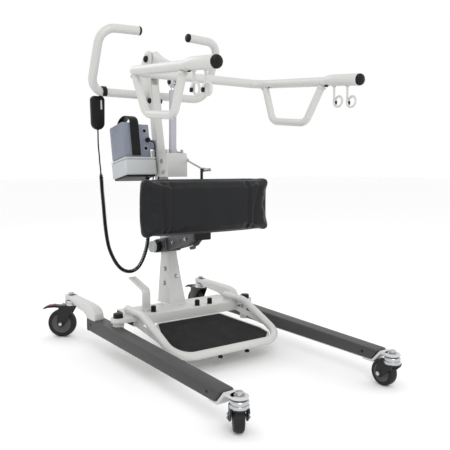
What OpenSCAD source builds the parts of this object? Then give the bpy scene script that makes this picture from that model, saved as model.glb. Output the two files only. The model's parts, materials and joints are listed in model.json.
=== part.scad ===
// Sit to stand lift: wheeled base with spreading legs, leaning mast, boom with two arms,
// knee pad, foot plate, push handle, battery box and hand pendant.
// +X is the user's left when the user faces the mast, -Y is the user's side, +Z is up.

/* [Base] */
// Distance from the middle of the lift to each leg's pivot
pivot_x = 250; // [245:1:252]
// Height of the top of the cross beam
beam_top = 135; // [134:1:136]
// Height of the cross beam's box
beam_h = 34; // [30:1:34]
// Width of a leg
leg_w = 44; // [40:1:44]
// Height of the underside of a leg
leg_bottom = 59; // [58:1:62]

/* [Casters] */
// Diameter of a front wheel
front_d = 75; // [70:1:75]
// Diameter of a rear wheel
rear_d = 100; // [96:1:100]
// Width of a wheel's tread
tread_w = 27; // [24:1:27]
// Distance from a front swivel axis to its axle
front_trail = 27; // [24:1:27]
// Distance from a rear swivel axis to its axle
rear_trail = 34; // [30:1:34]

/* [Mast and boom] */
// Backward lean of the mast above its bend, degrees
mast_lean = 10; // [9.5:0.1:10.5]
// Height of the boom's pivot
boom_z = 989; // [986:1:990]
// Half the spacing of the two arms
arm_x = 241; // [240:1:243]
// Diameter of an arm's tube
arm_d = 28; // [27:1:29]
// Diameter of an arm's padded end sleeve
sleeve_d = 34; // [33:1:35]
// Downward slope of the arms, degrees
arm_slope = 5.5; // [5.3:0.1:5.7]

/* [Push handle] */
// Diameter of the push handle's tube
handle_d = 29; // [27:1:29]
// Half the width of the push handle between tube centres
handle_x = 230; // [228:1:232]

/* [Knee pad] */
// Width of the knee pad
pad_w = 470; // [450:1:474]
// Height of the knee pad
pad_h = 178; // [170:1:180]
// Thickness of the knee pad
pad_t = 46; // [42:1:48]

/* [Hidden] */
$fn = 48;

// Moves the origin from the mast's foot to the middle of the base.
frame_x = 31.6;
frame_y = 66;
wall = 3;
tube_wall = 2.5;
gap = 0.5;
beam_front = 40;
beam_back = 165;
beam_x = 205;
pivot_y = 58;
leg_x = 267;
leg_rear = 219;
leg_front = -545;
arm_top_y = 395;
stem_x = 276;
front_stem_y = -600;
front_stem_x = 262;
bend_z = 300;
bend_y = 171;
mast_top = 900;
boom_y = 282;
cross_y = -26;
cross_z = 886;
rod_y = 134;
rod_z = 893;
lower_y = 140;
lower_z = 590;
handle_y = 291;
handle_z = 863;
bracket_y = 106;
stay_y = 124;
stay_z = 632;
stay_end = [9, -43, 599];
rear_turn = 52;
lever_x = -131;
lever_y = 95;

function mast_y(z) = bend_y + (z - bend_z) * tan(mast_lean);
function unit(v) = v / norm(v);

module place() {
  translate([frame_x, frame_y, 0]) children();
}

module mirror_pair() {
  children();
  mirror([1, 0, 0]) children();
}

// Plate outline in the Y-Z plane, given a thickness along X and centred on x.
module side_plate(points, x, t) {
  translate([x - t / 2, 0, 0])
    rotate([90, 0, 90])
      linear_extrude(t) polygon(points);
}

module bar_x(x0, x1, y, z, d) {
  translate([x0, y, z]) rotate([0, 90, 0]) cylinder(d = d, h = x1 - x0);
}

module bar_y(x, y0, y1, z, d) {
  translate([x, y0, z]) rotate([-90, 0, 0]) cylinder(d = d, h = y1 - y0);
}

// Straight round bar between two points.
module rod_between(a, b, d) {
  v = b - a;
  translate(a)
    rotate([0, acos(v[2] / norm(v)), atan2(v[1], v[0])])
      cylinder(d = d, h = norm(v));
}

// Bent tube: straight lengths and true elbows that meet face to face.
function turn(p, i) = acos(unit(p[i] - p[i - 1]) * unit(p[i + 1] - p[i]));
function setback(p, r, i) = (i == 0 || i == len(p) - 1) ? 0 : r[i] * tan(turn(p, i) / 2);

module elbow(a, b, c, r, d) {
  d1 = unit(b - a);
  d2 = unit(c - b);
  angle = acos(d1 * d2);
  axis = unit(cross(d1, d2));
  start = b - d1 * r * tan(angle / 2);
  out = cross(d1, axis);
  centre = start - out * r;
  multmatrix([
    [out[0], d1[0], axis[0], centre[0]],
    [out[1], d1[1], axis[1], centre[1]],
    [out[2], d1[2], axis[2], centre[2]],
    [0, 0, 0, 1]
  ])
    rotate_extrude(angle = angle) translate([r, 0]) circle(d = d);
}

// Each straight length runs a little way into its elbows, which are a hair thinner.
overlap = 2;
function inset(p, r, i) = (i == 0 || i == len(p) - 1) ? 0 : setback(p, r, i) - overlap;

module bent_tube(p, r, d) {
  for (i = [0 : len(p) - 2]) {
    v = unit(p[i + 1] - p[i]);
    rod_between(p[i] + v * inset(p, r, i), p[i + 1] - v * inset(p, r, i + 1), d);
  }
  for (i = [1 : len(p) - 2]) elbow(p[i - 1], p[i], p[i + 1], r[i], d - 0.4);
}

module hollow_tube(p, r, d) {
  difference() {
    bent_tube(p, r, d);
    bent_tube(p, r, d - 2 * tube_wall);
  }
}

// A path drawn from the middle outwards, continued on the other side.
function both_sides(p) = concat(
  [for (i = [len(p) - 1 : -1 : 1]) [-p[i][0], p[i][1], p[i][2]]],
  [for (i = [1 : len(p) - 1]) p[i]]
);
function both_radii(r) = concat(
  [for (i = [len(r) - 1 : -1 : 1]) r[i]],
  [for (i = [1 : len(r) - 1]) r[i]]
);

// ---- Base ----

module cross_beam() {
  color([0.78, 0.78, 0.76]) {
    difference() {
      translate([-beam_x, beam_front, beam_top - beam_h])
        cube([2 * beam_x, beam_back - beam_front, beam_h]);
      translate([-beam_x - 1, beam_front + wall, beam_top - beam_h + wall])
        cube([2 * beam_x + 2, beam_back - beam_front - 2 * wall, beam_h - 2 * wall]);
      translate([lever_x, lever_y, beam_top - 10]) cylinder(d = 12.1, h = 20);
    }
    mirror_pair() beam_ear();
  }
}

module beam_ear() {
  difference() {
    union() {
      translate([beam_x, beam_front - 6, beam_top - 15]) cube([pivot_x - beam_x, 76, 15]);
      translate([pivot_x, pivot_y, beam_top - 15]) cylinder(r = 24, h = 15);
    }
    translate([pivot_x, pivot_y, beam_top - 16]) cylinder(d = 16.1, h = 20);
  }
}

module beam_bolt_caps() {
  color([0.06, 0.06, 0.06])
    for (p = [[44, 56], [95, 56], [-121, 64]])
      translate([p[0], p[1], beam_top]) cylinder(d = 17, h = 20);
}

// The tapered foot below the mast's bend.
module mast_foot() {
  color([0.78, 0.78, 0.76]) difference() {
    foot_form(0);
    foot_form(wall);
  }
}

// The foot's outer form, or its hollow when t is the wall's thickness.
module foot_form(t) {
  intersection() {
    side_plate([
      [109 + t, beam_top + t], [132 + t, 225], [bend_y - 24 + t, bend_z - t],
      [bend_y + 24 - t, bend_z - t], [198 - t, beam_top + t]
    ], 0, 80);
    translate([0, 400, 0]) rotate([90, 0, 0]) linear_extrude(400) polygon([
      [-32 + t, beam_top], [-20 + t, bend_z], [20 - t, bend_z], [32 - t, beam_top]
    ]);
  }
}

// The straight tube above the bend, narrower towards its top.
module mast_tube() {
  color([0.78, 0.78, 0.76]) difference() {
    tube_form(0);
    tube_form(wall);
  }
}

module tube_form(t) {
  intersection() {
    side_plate([
      [bend_y - 24 + t, bend_z + t], [mast_y(mast_top) - 17 + t, mast_top - t],
      [mast_y(mast_top) + 17 - t, mast_top - t], [bend_y + 24 - t, bend_z + t]
    ], 0, 80);
    translate([0, 400, 0]) rotate([90, 0, 0]) linear_extrude(400) polygon([
      [-20 + t, bend_z], [-13 + t, mast_top], [13 - t, mast_top], [20 - t, bend_z]
    ]);
  }
}

// Two side plates that hold the boom's pivot and the push handle.
module mast_head() {
  color([0.78, 0.78, 0.76]) {
    for (s = [-1, 1]) {
      difference() {
        union() {
          side_plate([
            [mast_y(800) - 16, 800], [mast_y(800) + 18, 800], [320, 868], [338, 918],
            [338, 962], [boom_y + 30, 990], [boom_y - 30, 990], [268, 900]
          ], s * 16.1, 6);
          bar_x(s * 16.1 - 3, s * 16.1 + 3, boom_y, boom_z, 60);
        }
        bar_x(s * 16.1 - 5, s * 16.1 + 5, boom_y, boom_z, 14.1);
      }
    }
    bar_x(-13.1, 13.1, 318, 930, 16);
  }
}

module mast_bolts() {
  color([0.6, 0.6, 0.62]) {
    for (z = [205, 255]) bar_x(-38, 38, 158, z, 12);
    bar_y(8, 108, 131, 230, 14);
    bar_x(-32, 32, 262, 842, 13);
  }
}

module push_handle() {
  side = [
    [0, handle_y, handle_z], [handle_x, handle_y, handle_z],
    [handle_x, handle_y - 94, handle_z + 194], [102, handle_y - 102, handle_z + 197]
  ];
  color([0.78, 0.78, 0.76])
    hollow_tube(both_sides(side), both_radii([0, 50, 52, 0]), handle_d);
}

module handle_end_caps() {
  color([0.05, 0.05, 0.05])
    mirror_pair() translate([0, handle_y - 102, handle_z + 197])
      bar_x(92, 102, 0, 0, handle_d + 2);
}

// ---- Foot rest ----

module foot_frame() {
  path = [[0, -212, 60], [196, -212, 60], [196, -8, 146], [196, 104, 146]];
  color([0.78, 0.78, 0.76]) {
    hollow_tube(both_sides(path), both_radii([0, 66, 80, 0]), 25);
    mirror_pair() side_plate([
      [42, 103], [42, 117], [-104, 104], [-136, 88], [-110, 84]
    ], 196, 9);
  }
}

foot_slope = atan((97 - 60) / 230);

module foot_outline(grow, front, t) {
  translate([0, -189, 62]) rotate([foot_slope, 0, 0]) linear_extrude(t)
    polygon([
      [-120 - grow, 226 + grow], [-178 - grow, 70], [-178 - grow, 30], [-140, -front],
      [140, -front], [178 + grow, 30], [178 + grow, 70], [120 + grow, 226 + grow]
    ]);
}

module foot_plate() {
  color([0.78, 0.78, 0.76]) translate([0, 0, -6.1]) foot_outline(3, 16, 4);
}

module foot_mat() {
  color([0.1, 0.11, 0.11]) translate([0, 0, -2]) foot_outline(0, 0, 5);
}

module foot_plate_bolts() {
  color([0.2, 0.2, 0.2])
    for (x = [-45, 55]) translate([x, -212, 38]) cylinder(d = 14, h = 10);
}

// ---- Actuator bracket, control box, battery ----

module actuator_bracket() {
  color([0.78, 0.78, 0.76]) {
    for (s = [-1, 1]) side_plate([
      [bracket_y, 575], [bracket_y, 655], [172, 663], [mast_y(663) - 16, 663], [mast_y(575) - 17, 575]
    ], s * 36, 4);
    translate([-35, bracket_y, 575]) cube([70, 4, 80]);
    for (s = [-1, 1]) translate([s * 25 - 10, mast_y(618) - 15, 600]) cube([20, 5, 36]);
  }
}

module bracket_bolts() {
  color([0.6, 0.6, 0.62])
    for (s = [-1, 1], p = [[147, 628], [134, 584]])
      bar_x(s * 41 - 3, s * 41 + 3, p[0], p[1], 13);
    bar_x(37, 50, stay_y, stay_z, 6);
    bar_x(49.5, 53, stay_y, stay_z, 12);
}

// Tilts what is drawn upright so that it leans with the mast.
module lean() {
  translate([0, 232, 600]) rotate([-mast_lean, 0, 0]) translate([0, -232, -600]) children();
}

module lean_box(x0, x1, y0, y1, z0, z1) {
  lean() translate([x0, y0, z0]) cube([x1 - x0, y1 - y0, z1 - z0]);
}

module control_box() {
  color([0.72, 0.73, 0.74]) lean_box(-162, -46, 168, 280, 566, 632);
}

module box_back_plate() {
  color([0.5, 0.5, 0.52]) {
    lean_box(-92, -46, 200, 216, 632.5, 752);
    lean_box(-60, -15.6, 215, 240, 672, 702);
  }
}

module battery() {
  color([0.48, 0.5, 0.56]) lean_box(-160, -93, 176, 276, 633, 752);
}

module battery_strap() {
  color([0.07, 0.07, 0.08]) {
    lean_box(-131, -99, 166, 175.5, 640, 762);
    lean_box(-131, -99, 166, 276, 752.5, 762);
  }
}

module box_plugs() {
  color([0.06, 0.06, 0.06]) {
    lean() translate([-56, 200, 697]) rotate([90, 0, 0]) cylinder(d = 16, h = 12);
    lean() for (p = [[194, 590], [198, 614]]) bar_x(-46, -41.5, p[0], p[1], 15);
    lean() translate([-66, 206, 556]) cylinder(d = 19, h = 10);
  }
}

// ---- Pendant and cords ----

module pendant_shell() {
  color([0.06, 0.06, 0.07]) {
    difference() {
      translate([-219, 308, 738]) cube([50, 22, 112]);
      for (z = [756, 798]) translate([-211, 322, z]) cube([34, 9, 36]);
    }
    translate([-190, 308, 842]) cube([14, 4, 22]);
    difference() {
      bar_x(-190, -176, handle_y, handle_z, handle_d + 11);
      bar_x(-191, -175, handle_y, handle_z, handle_d + 5);
      translate([-191, handle_y - 25, handle_z - 30]) cube([16, 37, 18]);
    }
  }
}

module pendant_up_button() {
  color([0.7, 0.7, 0.72]) translate([-210, 324.5, 799]) cube([32, 7, 34]);
}

module pendant_down_button() {
  color([0.7, 0.7, 0.72]) translate([-210, 324.5, 757]) cube([32, 7, 34]);
}

module left_side() {
  mirror([1, 0, 0]) children();
}

// ---- Legs, drawn for the +X side and mirrored for the other ----

module leg_frame() {
  color([0.78, 0.78, 0.76]) {
    difference() {
      union() {
        translate([leg_x - 16, leg_front + 30, leg_bottom + 4]) difference() {
          cube([32, leg_rear - leg_front - 34, 31]);
          translate([wall, wall, wall]) cube([32 - 2 * wall, leg_rear - leg_front - 40, 25]);
        }
        translate([pivot_x, pivot_y, leg_bottom + 4]) cylinder(d = 36, h = 56.5);
        translate([leg_x - 16, leg_rear - 40, leg_bottom + 4]) cube([32, 36, 42]);
        translate([leg_x - 10, leg_rear - 34, leg_bottom + 40]) cube([24, 28, 14]);
        side_plate([
          [150, 112], [150, 138], [164, 147], [360, 151], [arm_top_y, 151], [arm_top_y, 138],
          [366, 138], [330, 127], [240, 122], [214, 108], [190, 108]
        ], stem_x - 2, 36);
        translate([stem_x, arm_top_y, 138]) cylinder(r = 22, h = 13);
        side_plate([
          [leg_front + 28, leg_bottom], [leg_front + 6, leg_bottom], [leg_front - 22, 91],
          [front_stem_y, 91], [front_stem_y, 97], [leg_front - 24, 97],
          [leg_front + 10, leg_bottom + 6], [leg_front + 32, leg_bottom + 6]
        ], leg_x - 1, leg_w - 9);
        translate([front_stem_x, front_stem_y, 91]) cylinder(r = 22, h = 6);
        translate([leg_x - 16, leg_front + 26, leg_bottom + 4]) cube([32, 10, 10]);
      }
      translate([pivot_x, pivot_y, 40]) cylinder(d = 16.1, h = 90);
      translate([stem_x, arm_top_y, 100]) cylinder(d = 12.1, h = 60);
      translate([front_stem_x, front_stem_y, 80]) cylinder(d = 12.1, h = 30);
    }
  }
}

module leg_cover() {
  color([0.27, 0.27, 0.26])
    difference() {
      side_plate([
        [leg_rear, leg_bottom + 6], [leg_rear, 111], [0, 107], [leg_front - 12, 97],
        [leg_front + 8, leg_bottom + 8]
      ], leg_x, leg_w);
      side_plate([
        [leg_rear + 5, 0], [leg_rear + 5, 107.6], [0, 103.6], [leg_front - 40, 93],
        [leg_front - 40, 0]
      ], leg_x, leg_w - 6);
      translate([pivot_x, pivot_y, 50]) cylinder(d = 37, h = 80);
      translate([stem_x - 22, 140, 100]) cube([40, 110, 40]);
    }
}

module leg_pivot_bolts() {
  color([0.08, 0.08, 0.08])
    mirror_pair() {
      translate([pivot_x, pivot_y, 62]) cylinder(d = 16, h = 73);
      translate([pivot_x, pivot_y, beam_top]) cylinder(d = 31, h = 14);
    }
}

module spreader_lever() {
  color([0.78, 0.78, 0.76]) {
    translate([lever_x, lever_y, beam_top + 0.4]) cylinder(d = 30, h = 6);
    side_plate([
      [lever_y - 4, beam_top + 0.4], [lever_y - 4, beam_top + 68], [lever_y, beam_top + 74],
      [lever_y + 103, beam_top + 98], [lever_y + 105, beam_top + 90],
      [lever_y + 4, beam_top + 66], [lever_y + 4, beam_top + 0.4]
    ], lever_x, 28);
    translate([lever_x, lever_y, beam_top - 14]) cylinder(d = 12, h = 20);
  }
}

// ---- Casters: drawn about the swivel axis, trailing along +Y ----

module caster_fork(d, trail, top) {
  color([0.12, 0.12, 0.13])
    difference() {
      union() {
        translate([0, 0, top - 16]) cylinder(r1 = 24, r2 = 20, h = 15.5);
        translate([-23.5, -16, top - 24]) cube([47, trail + 22, 10]);
        for (s = [-1, 1]) {
          side_plate([
            [-14, top - 15], [trail + 5, top - 15], [trail + 13, d / 2], [trail, d / 2 - 12],
            [trail - 14, d / 2]
          ], s * 20.5, 6);
        }
        translate([0, 0, top - 1]) cylinder(d = 12, h = 18);
      }
      translate([-tread_w / 2 - 2, trail, d / 2]) rotate([0, 90, 0])
        cylinder(r = d / 2 + 2, h = tread_w + 4);
      bar_x(-30, 30, trail, d / 2, 8.1);
    }
}

module caster_wheel(d, trail) {
  color([0.07, 0.07, 0.07]) {
    bar_x(-tread_w / 2, tread_w / 2, trail, d / 2, d);
    bar_x(-tread_w / 2 - 3, tread_w / 2 + 3, trail, d / 2, d * 0.4);
    bar_x(-26, 26, trail, d / 2, 8);
  }
}

module brake_pedal() {
  color([0.35, 0.04, 0.05]) {
    translate([-17, rear_trail + 7, 106]) cube([34, 59, 7]);
    bar_x(-17, 17, rear_trail + 7, 109.5, 7);
  }
}

module at_front(s, turn) {
  translate([s * front_stem_x, front_stem_y, 0]) rotate([0, 0, turn]) children();
}

module at_rear(s, turn) {
  translate([s * stem_x, arm_top_y, 0]) rotate([0, 0, turn]) children();
}

// ---- Boom and arms ----

module boom() {
  color([0.78, 0.78, 0.76])
    difference() {
      union() {
        bar_x(-12.6, 12.6, boom_y, boom_z, 46);
        side_plate([
          [boom_y - 2, boom_z - 23], [boom_y - 4, boom_z + 23], [boom_y - 70, 984],
          [cross_y + 4, cross_z + 11], [cross_y + 4, cross_z - 11], [rod_y - 18, 916],
          [rod_y + 22, 930]
        ], 0, 25.2);
        for (s = [-1, 1]) side_plate([
          [rod_y - 14, rod_z - 12], [rod_y + 14, rod_z - 12], [rod_y + 34, 938], [rod_y - 30, 920]
        ], s * 10.1, 5);
      }
      bar_x(-30, 30, boom_y, boom_z, 14.1);
      bar_x(-30, 30, rod_y, rod_z, 10.1);
    }
}

module boom_pivot_bolt() {
  color([0.07, 0.07, 0.07]) {
    bar_x(-22, 22, boom_y, boom_z, 14);
    for (s = [-1, 1]) bar_x(s * 26 - 6.5, s * 26 + 6.5, boom_y, boom_z, 19);
  }
}

module rod_pivot_pin() {
  color([0.07, 0.07, 0.07]) {
    bar_x(-13, 13, rod_y, rod_z, 10);
    for (s = [-1, 1]) bar_x(s * 15.5 - 2.5, s * 15.5 + 2.5, rod_y, rod_z, 16);
  }
}

arm_dir = [0, -cos(arm_slope), -sin(arm_slope)];
arm_start = [arm_x, cross_y - 8, cross_z + 3];
function on_arm(s, t) = [s * arm_x, arm_start[1] + arm_dir[1] * t, arm_start[2] + arm_dir[2] * t];

// The sleeve sits a little high, so that its underside runs on from the tube's.
function on_sleeve(t) = on_arm(1, t) + [0, 0, (sleeve_d - arm_d) / 2];

module arm_frame() {
  color([0.78, 0.78, 0.76])
    hollow_tube(both_sides([
      [0, cross_y - 3, cross_z], [arm_x, cross_y - 3, cross_z], on_arm(1, 322)
    ]), both_radii([0, 45, 0]), arm_d);
}

module arm_sleeves() {
  color([0.8, 0.8, 0.78])
    mirror_pair() rod_between(on_sleeve(322), on_sleeve(446), sleeve_d);
}

module arm_end_caps() {
  color([0.04, 0.04, 0.05])
    mirror_pair() rod_between(on_sleeve(446), on_sleeve(456), sleeve_d - 1);
}

module grip(s) {
  color([0.78, 0.78, 0.76])
    hollow_tube([
      on_arm(s, 30) - [0, 0, 11], [s * (arm_x - 8), -114, 757], [s * (arm_x - 8), -270, 742],
      on_arm(s, 300) - [0, 0, 11]
    ], [0, 40, 36, 0], 23);
}

module sling_hooks() {
  color([0.8, 0.8, 0.8])
    mirror_pair() for (t = [350, 402]) {
      top = on_arm(1, t) - [0, 0, 9];
      rod_between(top, top - [0, 0, 48], 7);
      translate(top - [0, 14, 50]) rotate([90, 0, 90]) rotate_extrude()
        translate([15, 0]) circle(d = 6.6);
    }
}

// ---- Actuator ----

actuator_tilt = atan((lower_y - rod_y) / (rod_z - lower_z));

// Drawn downwards from the rod's eye, along the line to the lower pivot.
module on_actuator() {
  translate([0, rod_y, rod_z]) rotate([actuator_tilt, 0, 0]) children();
}

module actuator_rod() {
  color([0.75, 0.75, 0.78])
    on_actuator() difference() {
      union() {
        bar_x(-6.9, 6.9, 0, 0, 22);
        translate([0, 0, -228]) cylinder(d = 14, h = 220);
      }
      bar_x(-20, 20, 0, 0, 10.1);
    }
}

module actuator_tube() {
  color([0.64, 0.63, 0.68])
    on_actuator() difference() {
      translate([0, 0, -253]) cylinder(d = 25, h = 226);
      translate([0, 0, -246]) cylinder(d = 14.1, h = 230);
    }
}

module actuator_motor() {
  color([0.3, 0.3, 0.31]) on_actuator() {
    translate([-26, -11.5, -309]) cube([52, 23, 50]);
    translate([0, 0, -259]) cylinder(d = 23, h = 6);
  }
}

// ---- Knee pad ----

module knee_carriage() {
  color([0.24, 0.24, 0.25]) {
    difference() {
      union() {
        translate([0, bend_y, bend_z]) rotate([-mast_lean, 0, 0])
          translate([-30, -36, 12]) cube([60, 72, 48]);
        side_plate([
          [141, 318], [149, 366], [40, 398], [-34, 402], [-34, 374], [20, 346]
        ], 0, 44);
      }
      mast_bore();
      bar_x(-31, -20, 186, 332, 10.1);
    }
  }
}

// The space for the mast inside its sliding carriage.
module mast_bore() {
  half = 24 + gap;
  side_plate([
    [mast_y(280) - half, 280], [mast_y(500) - half, 500],
    [mast_y(500) + half, 500], [mast_y(280) + half, 280]
  ], 0, 2 * (20 + gap));
}

module carriage_knob() {
  color([0.08, 0.08, 0.08]) {
    bar_x(-51, -31, 186, 332, 44);
    bar_x(-65, -51, 186, 332, 40);
    bar_x(-32, -22, 186, 332, 10);
  }
}

module knee_backboard() {
  color([0.2, 0.2, 0.21]) {
    translate([-190, -60, 412]) cube([380, 8, 136]);
    translate([-30, -52, 374]) cube([60, 18, 188]);
    translate([0, -43, 561]) cylinder(d = 9, h = 44);
  }
}

module knee_pad() {
  color([0.07, 0.08, 0.09])
    translate([-pad_w / 2, -61 - pad_t, 396]) cube([pad_w, pad_t, pad_h]);
}

// The stay ties the pad's stud to the actuator bracket.
module pad_stay_rod() {
  color([0.7, 0.7, 0.72]) difference() {
    union() {
      bar_x(43, 49, stay_y, stay_z, 15);
      rod_between([46, stay_y, stay_z], stay_end, 7);
      bar_x(stay_end[0] - 3, stay_end[0] + 3, stay_end[1], stay_end[2], 14);
    }
    bar_x(30, 55, stay_y, stay_z, 6.1);
    bar_x(0, 30, stay_end[1], stay_end[2], 6.1);
  }
}

module pad_wing_screw() {
  color([0.7, 0.7, 0.72]) {
    bar_x(6.2, 16, stay_end[1], stay_end[2], 6);
    bar_x(15, 27, stay_end[1], stay_end[2], 11);
    translate([20, stay_end[1] - 19, stay_end[2] - 5]) cube([5, 38, 10]);
  }
}

// ---- Cords ----

cord_d = 5;
// The straight cord runs from the pendant's foot to the curly stretch.
pendant_cord_route = [
  [-194, 319, 738], [-194, 318, 720], [-195, 316, 700], [-195, 314, 675], [-194, 311, 650],
  [-194, 308, 625], [-193, 305, 605], [-193, 303, 588]
];
// The curly stretch hangs in a loop and comes up behind the knee pad.
coil_d = 14.5;
coil_route = [
  [-193, 303, 588], [-192, 300, 560], [-192, 297, 530], [-191, 290, 477], [-190, 279, 400],
  [-186, 267, 339], [-177, 257, 302], [-163, 246, 270], [-147, 235, 252], [-130, 225, 246],
  [-114, 214, 251], [-101, 203, 266], [-89, 192, 297], [-80, 183, 339], [-76, 179, 385],
  [-73, 180, 440], [-69, 188, 500], [-66, 196, 540], [-66, 199, 561]
];

function tangent(p, i) = unit(p[min(i + 1, len(p) - 1)] - p[max(i - 1, 0)]);
function side_of(t) = unit(cross(t, [0.3, 1, 0.1]));
function ring(c, t, r, n) = let (u = side_of(t), v = cross(t, u))
  [for (k = [0 : n - 1]) c + r * cos(360 * k / n) * u + r * sin(360 * k / n) * v];

module swept_tube(p, d, n) {
  rings = [for (i = [0 : len(p) - 1]) each ring(p[i], tangent(p, i), d / 2, n)];
  last = (len(p) - 1) * n;
  sides = [for (i = [0 : len(p) - 2], k = [0 : n - 1])
    [i * n + k, i * n + (k + 1) % n, (i + 1) * n + (k + 1) % n, (i + 1) * n + k]];
  polyhedron(rings, concat(
    sides, [[for (k = [n - 1 : -1 : 0]) k]], [[for (k = [0 : n - 1]) last + k]]
  ));
}

module pendant_cord() {
  color([0.05, 0.05, 0.05]) swept_tube(pendant_cord_route, cord_d, 8);
}

module pendant_coil() {
  color([0.05, 0.05, 0.05]) swept_tube(coil_route, coil_d, 10);
}

// The lead from the plate's plug passes under the box and up into the actuator bracket.
box_cable_route = [
  [-50, 205, 697], [-45, 198, 696], [-42, 191, 688], [-42, 187, 672], [-42, 186, 650],
  [-42, 188, 625], [-42, 192, 600], [-42, 199, 580], [-41, 206, 564], [-37, 210, 553],
  [-31, 209, 548], [-25, 205, 553], [-22, 202, 566], [-22, 202, 585], [-23, 205, 600],
  [-24, 212, 612]
];

lead_d = 4.5;
module box_cable() {
  color([0.05, 0.05, 0.05]) swept_tube(box_cable_route, lead_d, 8);
}

place() cross_beam();
place() beam_bolt_caps();
place() mast_foot();
place() mast_tube();
place() mast_head();
place() mast_bolts();
place() push_handle();
place() handle_end_caps();
place() foot_frame();
place() foot_plate();
place() foot_mat();
place() foot_plate_bolts();
place() actuator_bracket();
place() bracket_bolts();
place() control_box();
place() box_back_plate();
place() battery();
place() battery_strap();
place() box_plugs();
place() box_cable();
place() pendant_shell();
place() pendant_up_button();
place() pendant_down_button();
place() pendant_cord();
place() pendant_coil();
place() left_side() leg_frame();  // left_leg_frame
place() left_side() leg_cover();  // left_leg_cover
place() leg_frame();  // right_leg_frame
place() leg_cover();  // right_leg_cover
place() leg_pivot_bolts();
place() spreader_lever();
place() at_front(-1, -32) caster_fork(front_d, front_trail, 91);  // front_left_fork
place() at_front(-1, -32) caster_wheel(front_d, front_trail);  // front_left_wheel
place() at_front(1, 0) caster_fork(front_d, front_trail, 91);  // front_right_fork
place() at_front(1, 0) caster_wheel(front_d, front_trail);  // front_right_wheel
place() at_rear(-1, rear_turn) caster_fork(rear_d, rear_trail, 138);  // rear_left_fork
place() at_rear(-1, rear_turn) caster_wheel(rear_d, rear_trail);  // rear_left_wheel
place() at_rear(1, 0) caster_fork(rear_d, rear_trail, 138);  // rear_right_fork
place() at_rear(1, 0) caster_wheel(rear_d, rear_trail);  // rear_right_wheel
place() at_rear(-1, rear_turn) brake_pedal();  // left_brake_pedal
place() at_rear(1, 0) brake_pedal();  // right_brake_pedal
place() boom();
place() boom_pivot_bolt();
place() rod_pivot_pin();
place() arm_frame();
place() arm_sleeves();
place() arm_end_caps();
place() grip(-1);  // left_grip
place() grip(1);  // right_grip
place() sling_hooks();
place() actuator_rod();
place() actuator_tube();
place() actuator_motor();
place() knee_carriage();
place() carriage_knob();
place() knee_backboard();
place() knee_pad();
place() pad_stay_rod();
place() pad_wing_screw();
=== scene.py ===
# %% [markdown]
# # A sit to stand lift
# The lift is a steel carriage with two spreading legs, a leaning mast, and a powered boom
# whose two arms hold a sling. The mechanical model is loaded first and never changed: it
# says where every part is and how it moves. Each cell below adds the look of one part.

# %% Load the mechanical model
import json
import math

import bmesh
import bpy
from mathutils import Matrix, Vector


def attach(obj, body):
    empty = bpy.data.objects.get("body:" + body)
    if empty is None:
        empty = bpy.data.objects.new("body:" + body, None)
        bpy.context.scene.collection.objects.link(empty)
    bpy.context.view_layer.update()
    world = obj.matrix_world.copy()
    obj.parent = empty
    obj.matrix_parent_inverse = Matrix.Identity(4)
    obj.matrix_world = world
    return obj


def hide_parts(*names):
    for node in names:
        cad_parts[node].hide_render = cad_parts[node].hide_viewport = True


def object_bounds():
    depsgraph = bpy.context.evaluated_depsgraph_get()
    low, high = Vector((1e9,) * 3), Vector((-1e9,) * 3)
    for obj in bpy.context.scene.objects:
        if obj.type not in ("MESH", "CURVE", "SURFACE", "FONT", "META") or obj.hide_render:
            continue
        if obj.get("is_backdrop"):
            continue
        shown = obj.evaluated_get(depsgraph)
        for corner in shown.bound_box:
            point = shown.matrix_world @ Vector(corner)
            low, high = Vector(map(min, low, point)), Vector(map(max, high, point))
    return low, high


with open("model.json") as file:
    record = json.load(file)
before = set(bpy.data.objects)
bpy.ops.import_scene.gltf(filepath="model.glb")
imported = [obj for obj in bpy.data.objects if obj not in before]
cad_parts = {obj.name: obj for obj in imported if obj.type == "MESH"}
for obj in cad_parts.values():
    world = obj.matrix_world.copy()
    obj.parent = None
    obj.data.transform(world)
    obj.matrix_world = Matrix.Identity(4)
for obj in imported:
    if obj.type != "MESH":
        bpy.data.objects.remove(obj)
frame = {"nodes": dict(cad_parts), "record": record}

cad_box = [list(corner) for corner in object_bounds()]
print("mechanical model's box in metres:", cad_box)

# %% [markdown]
# ## One way to give places
# The lift was drawn in millimetres from a point on the floor, on the mast's middle line and
# in front of its foot. The model's own origin is the middle of the floor space that the lift
# takes up. Shapes are made in the drawing's millimetres, which are easy to read on a bench,
# and one matrix brings each finished shape to its place in metres.

# %% Millimetres in the drawing to metres in the model
FRAME_X, FRAME_Y = 31.6, 66
TO_MODEL = Matrix.Scale(0.001, 4) @ Matrix.Translation((FRAME_X, FRAME_Y, 0))


def spot(x, y, z):
    """A place in the drawing as a place in the model."""
    return TO_MODEL @ Vector((x, y, z))


print("drawing's origin in the model:", [round(v, 4) for v in spot(0, 0, 0)])

# %% [markdown]
# ## Camera
# The lift is seen from its left front corner. The camera looks slightly down from a little
# above the knee pad and stands about two metres off, where a 47 mm lens holds the lift.

# %% Camera
CAMERA_PLACE = (-1028, -1631, 603)
CAMERA_YAW = math.radians(35.17)
CAMERA_DIP = math.radians(5.46)
LENS = 47.3

scene = bpy.context.scene
camera = bpy.data.objects.new("camera", bpy.data.cameras.new("camera"))
camera.location = spot(*CAMERA_PLACE)
camera.rotation_euler = (math.radians(90) - CAMERA_DIP, 0, -CAMERA_YAW)
camera.data.lens = LENS
camera.data.sensor_width = 36
scene.collection.objects.link(camera)
scene.camera = camera
print("camera stands at", [round(v, 3) for v in camera.location])

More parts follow.
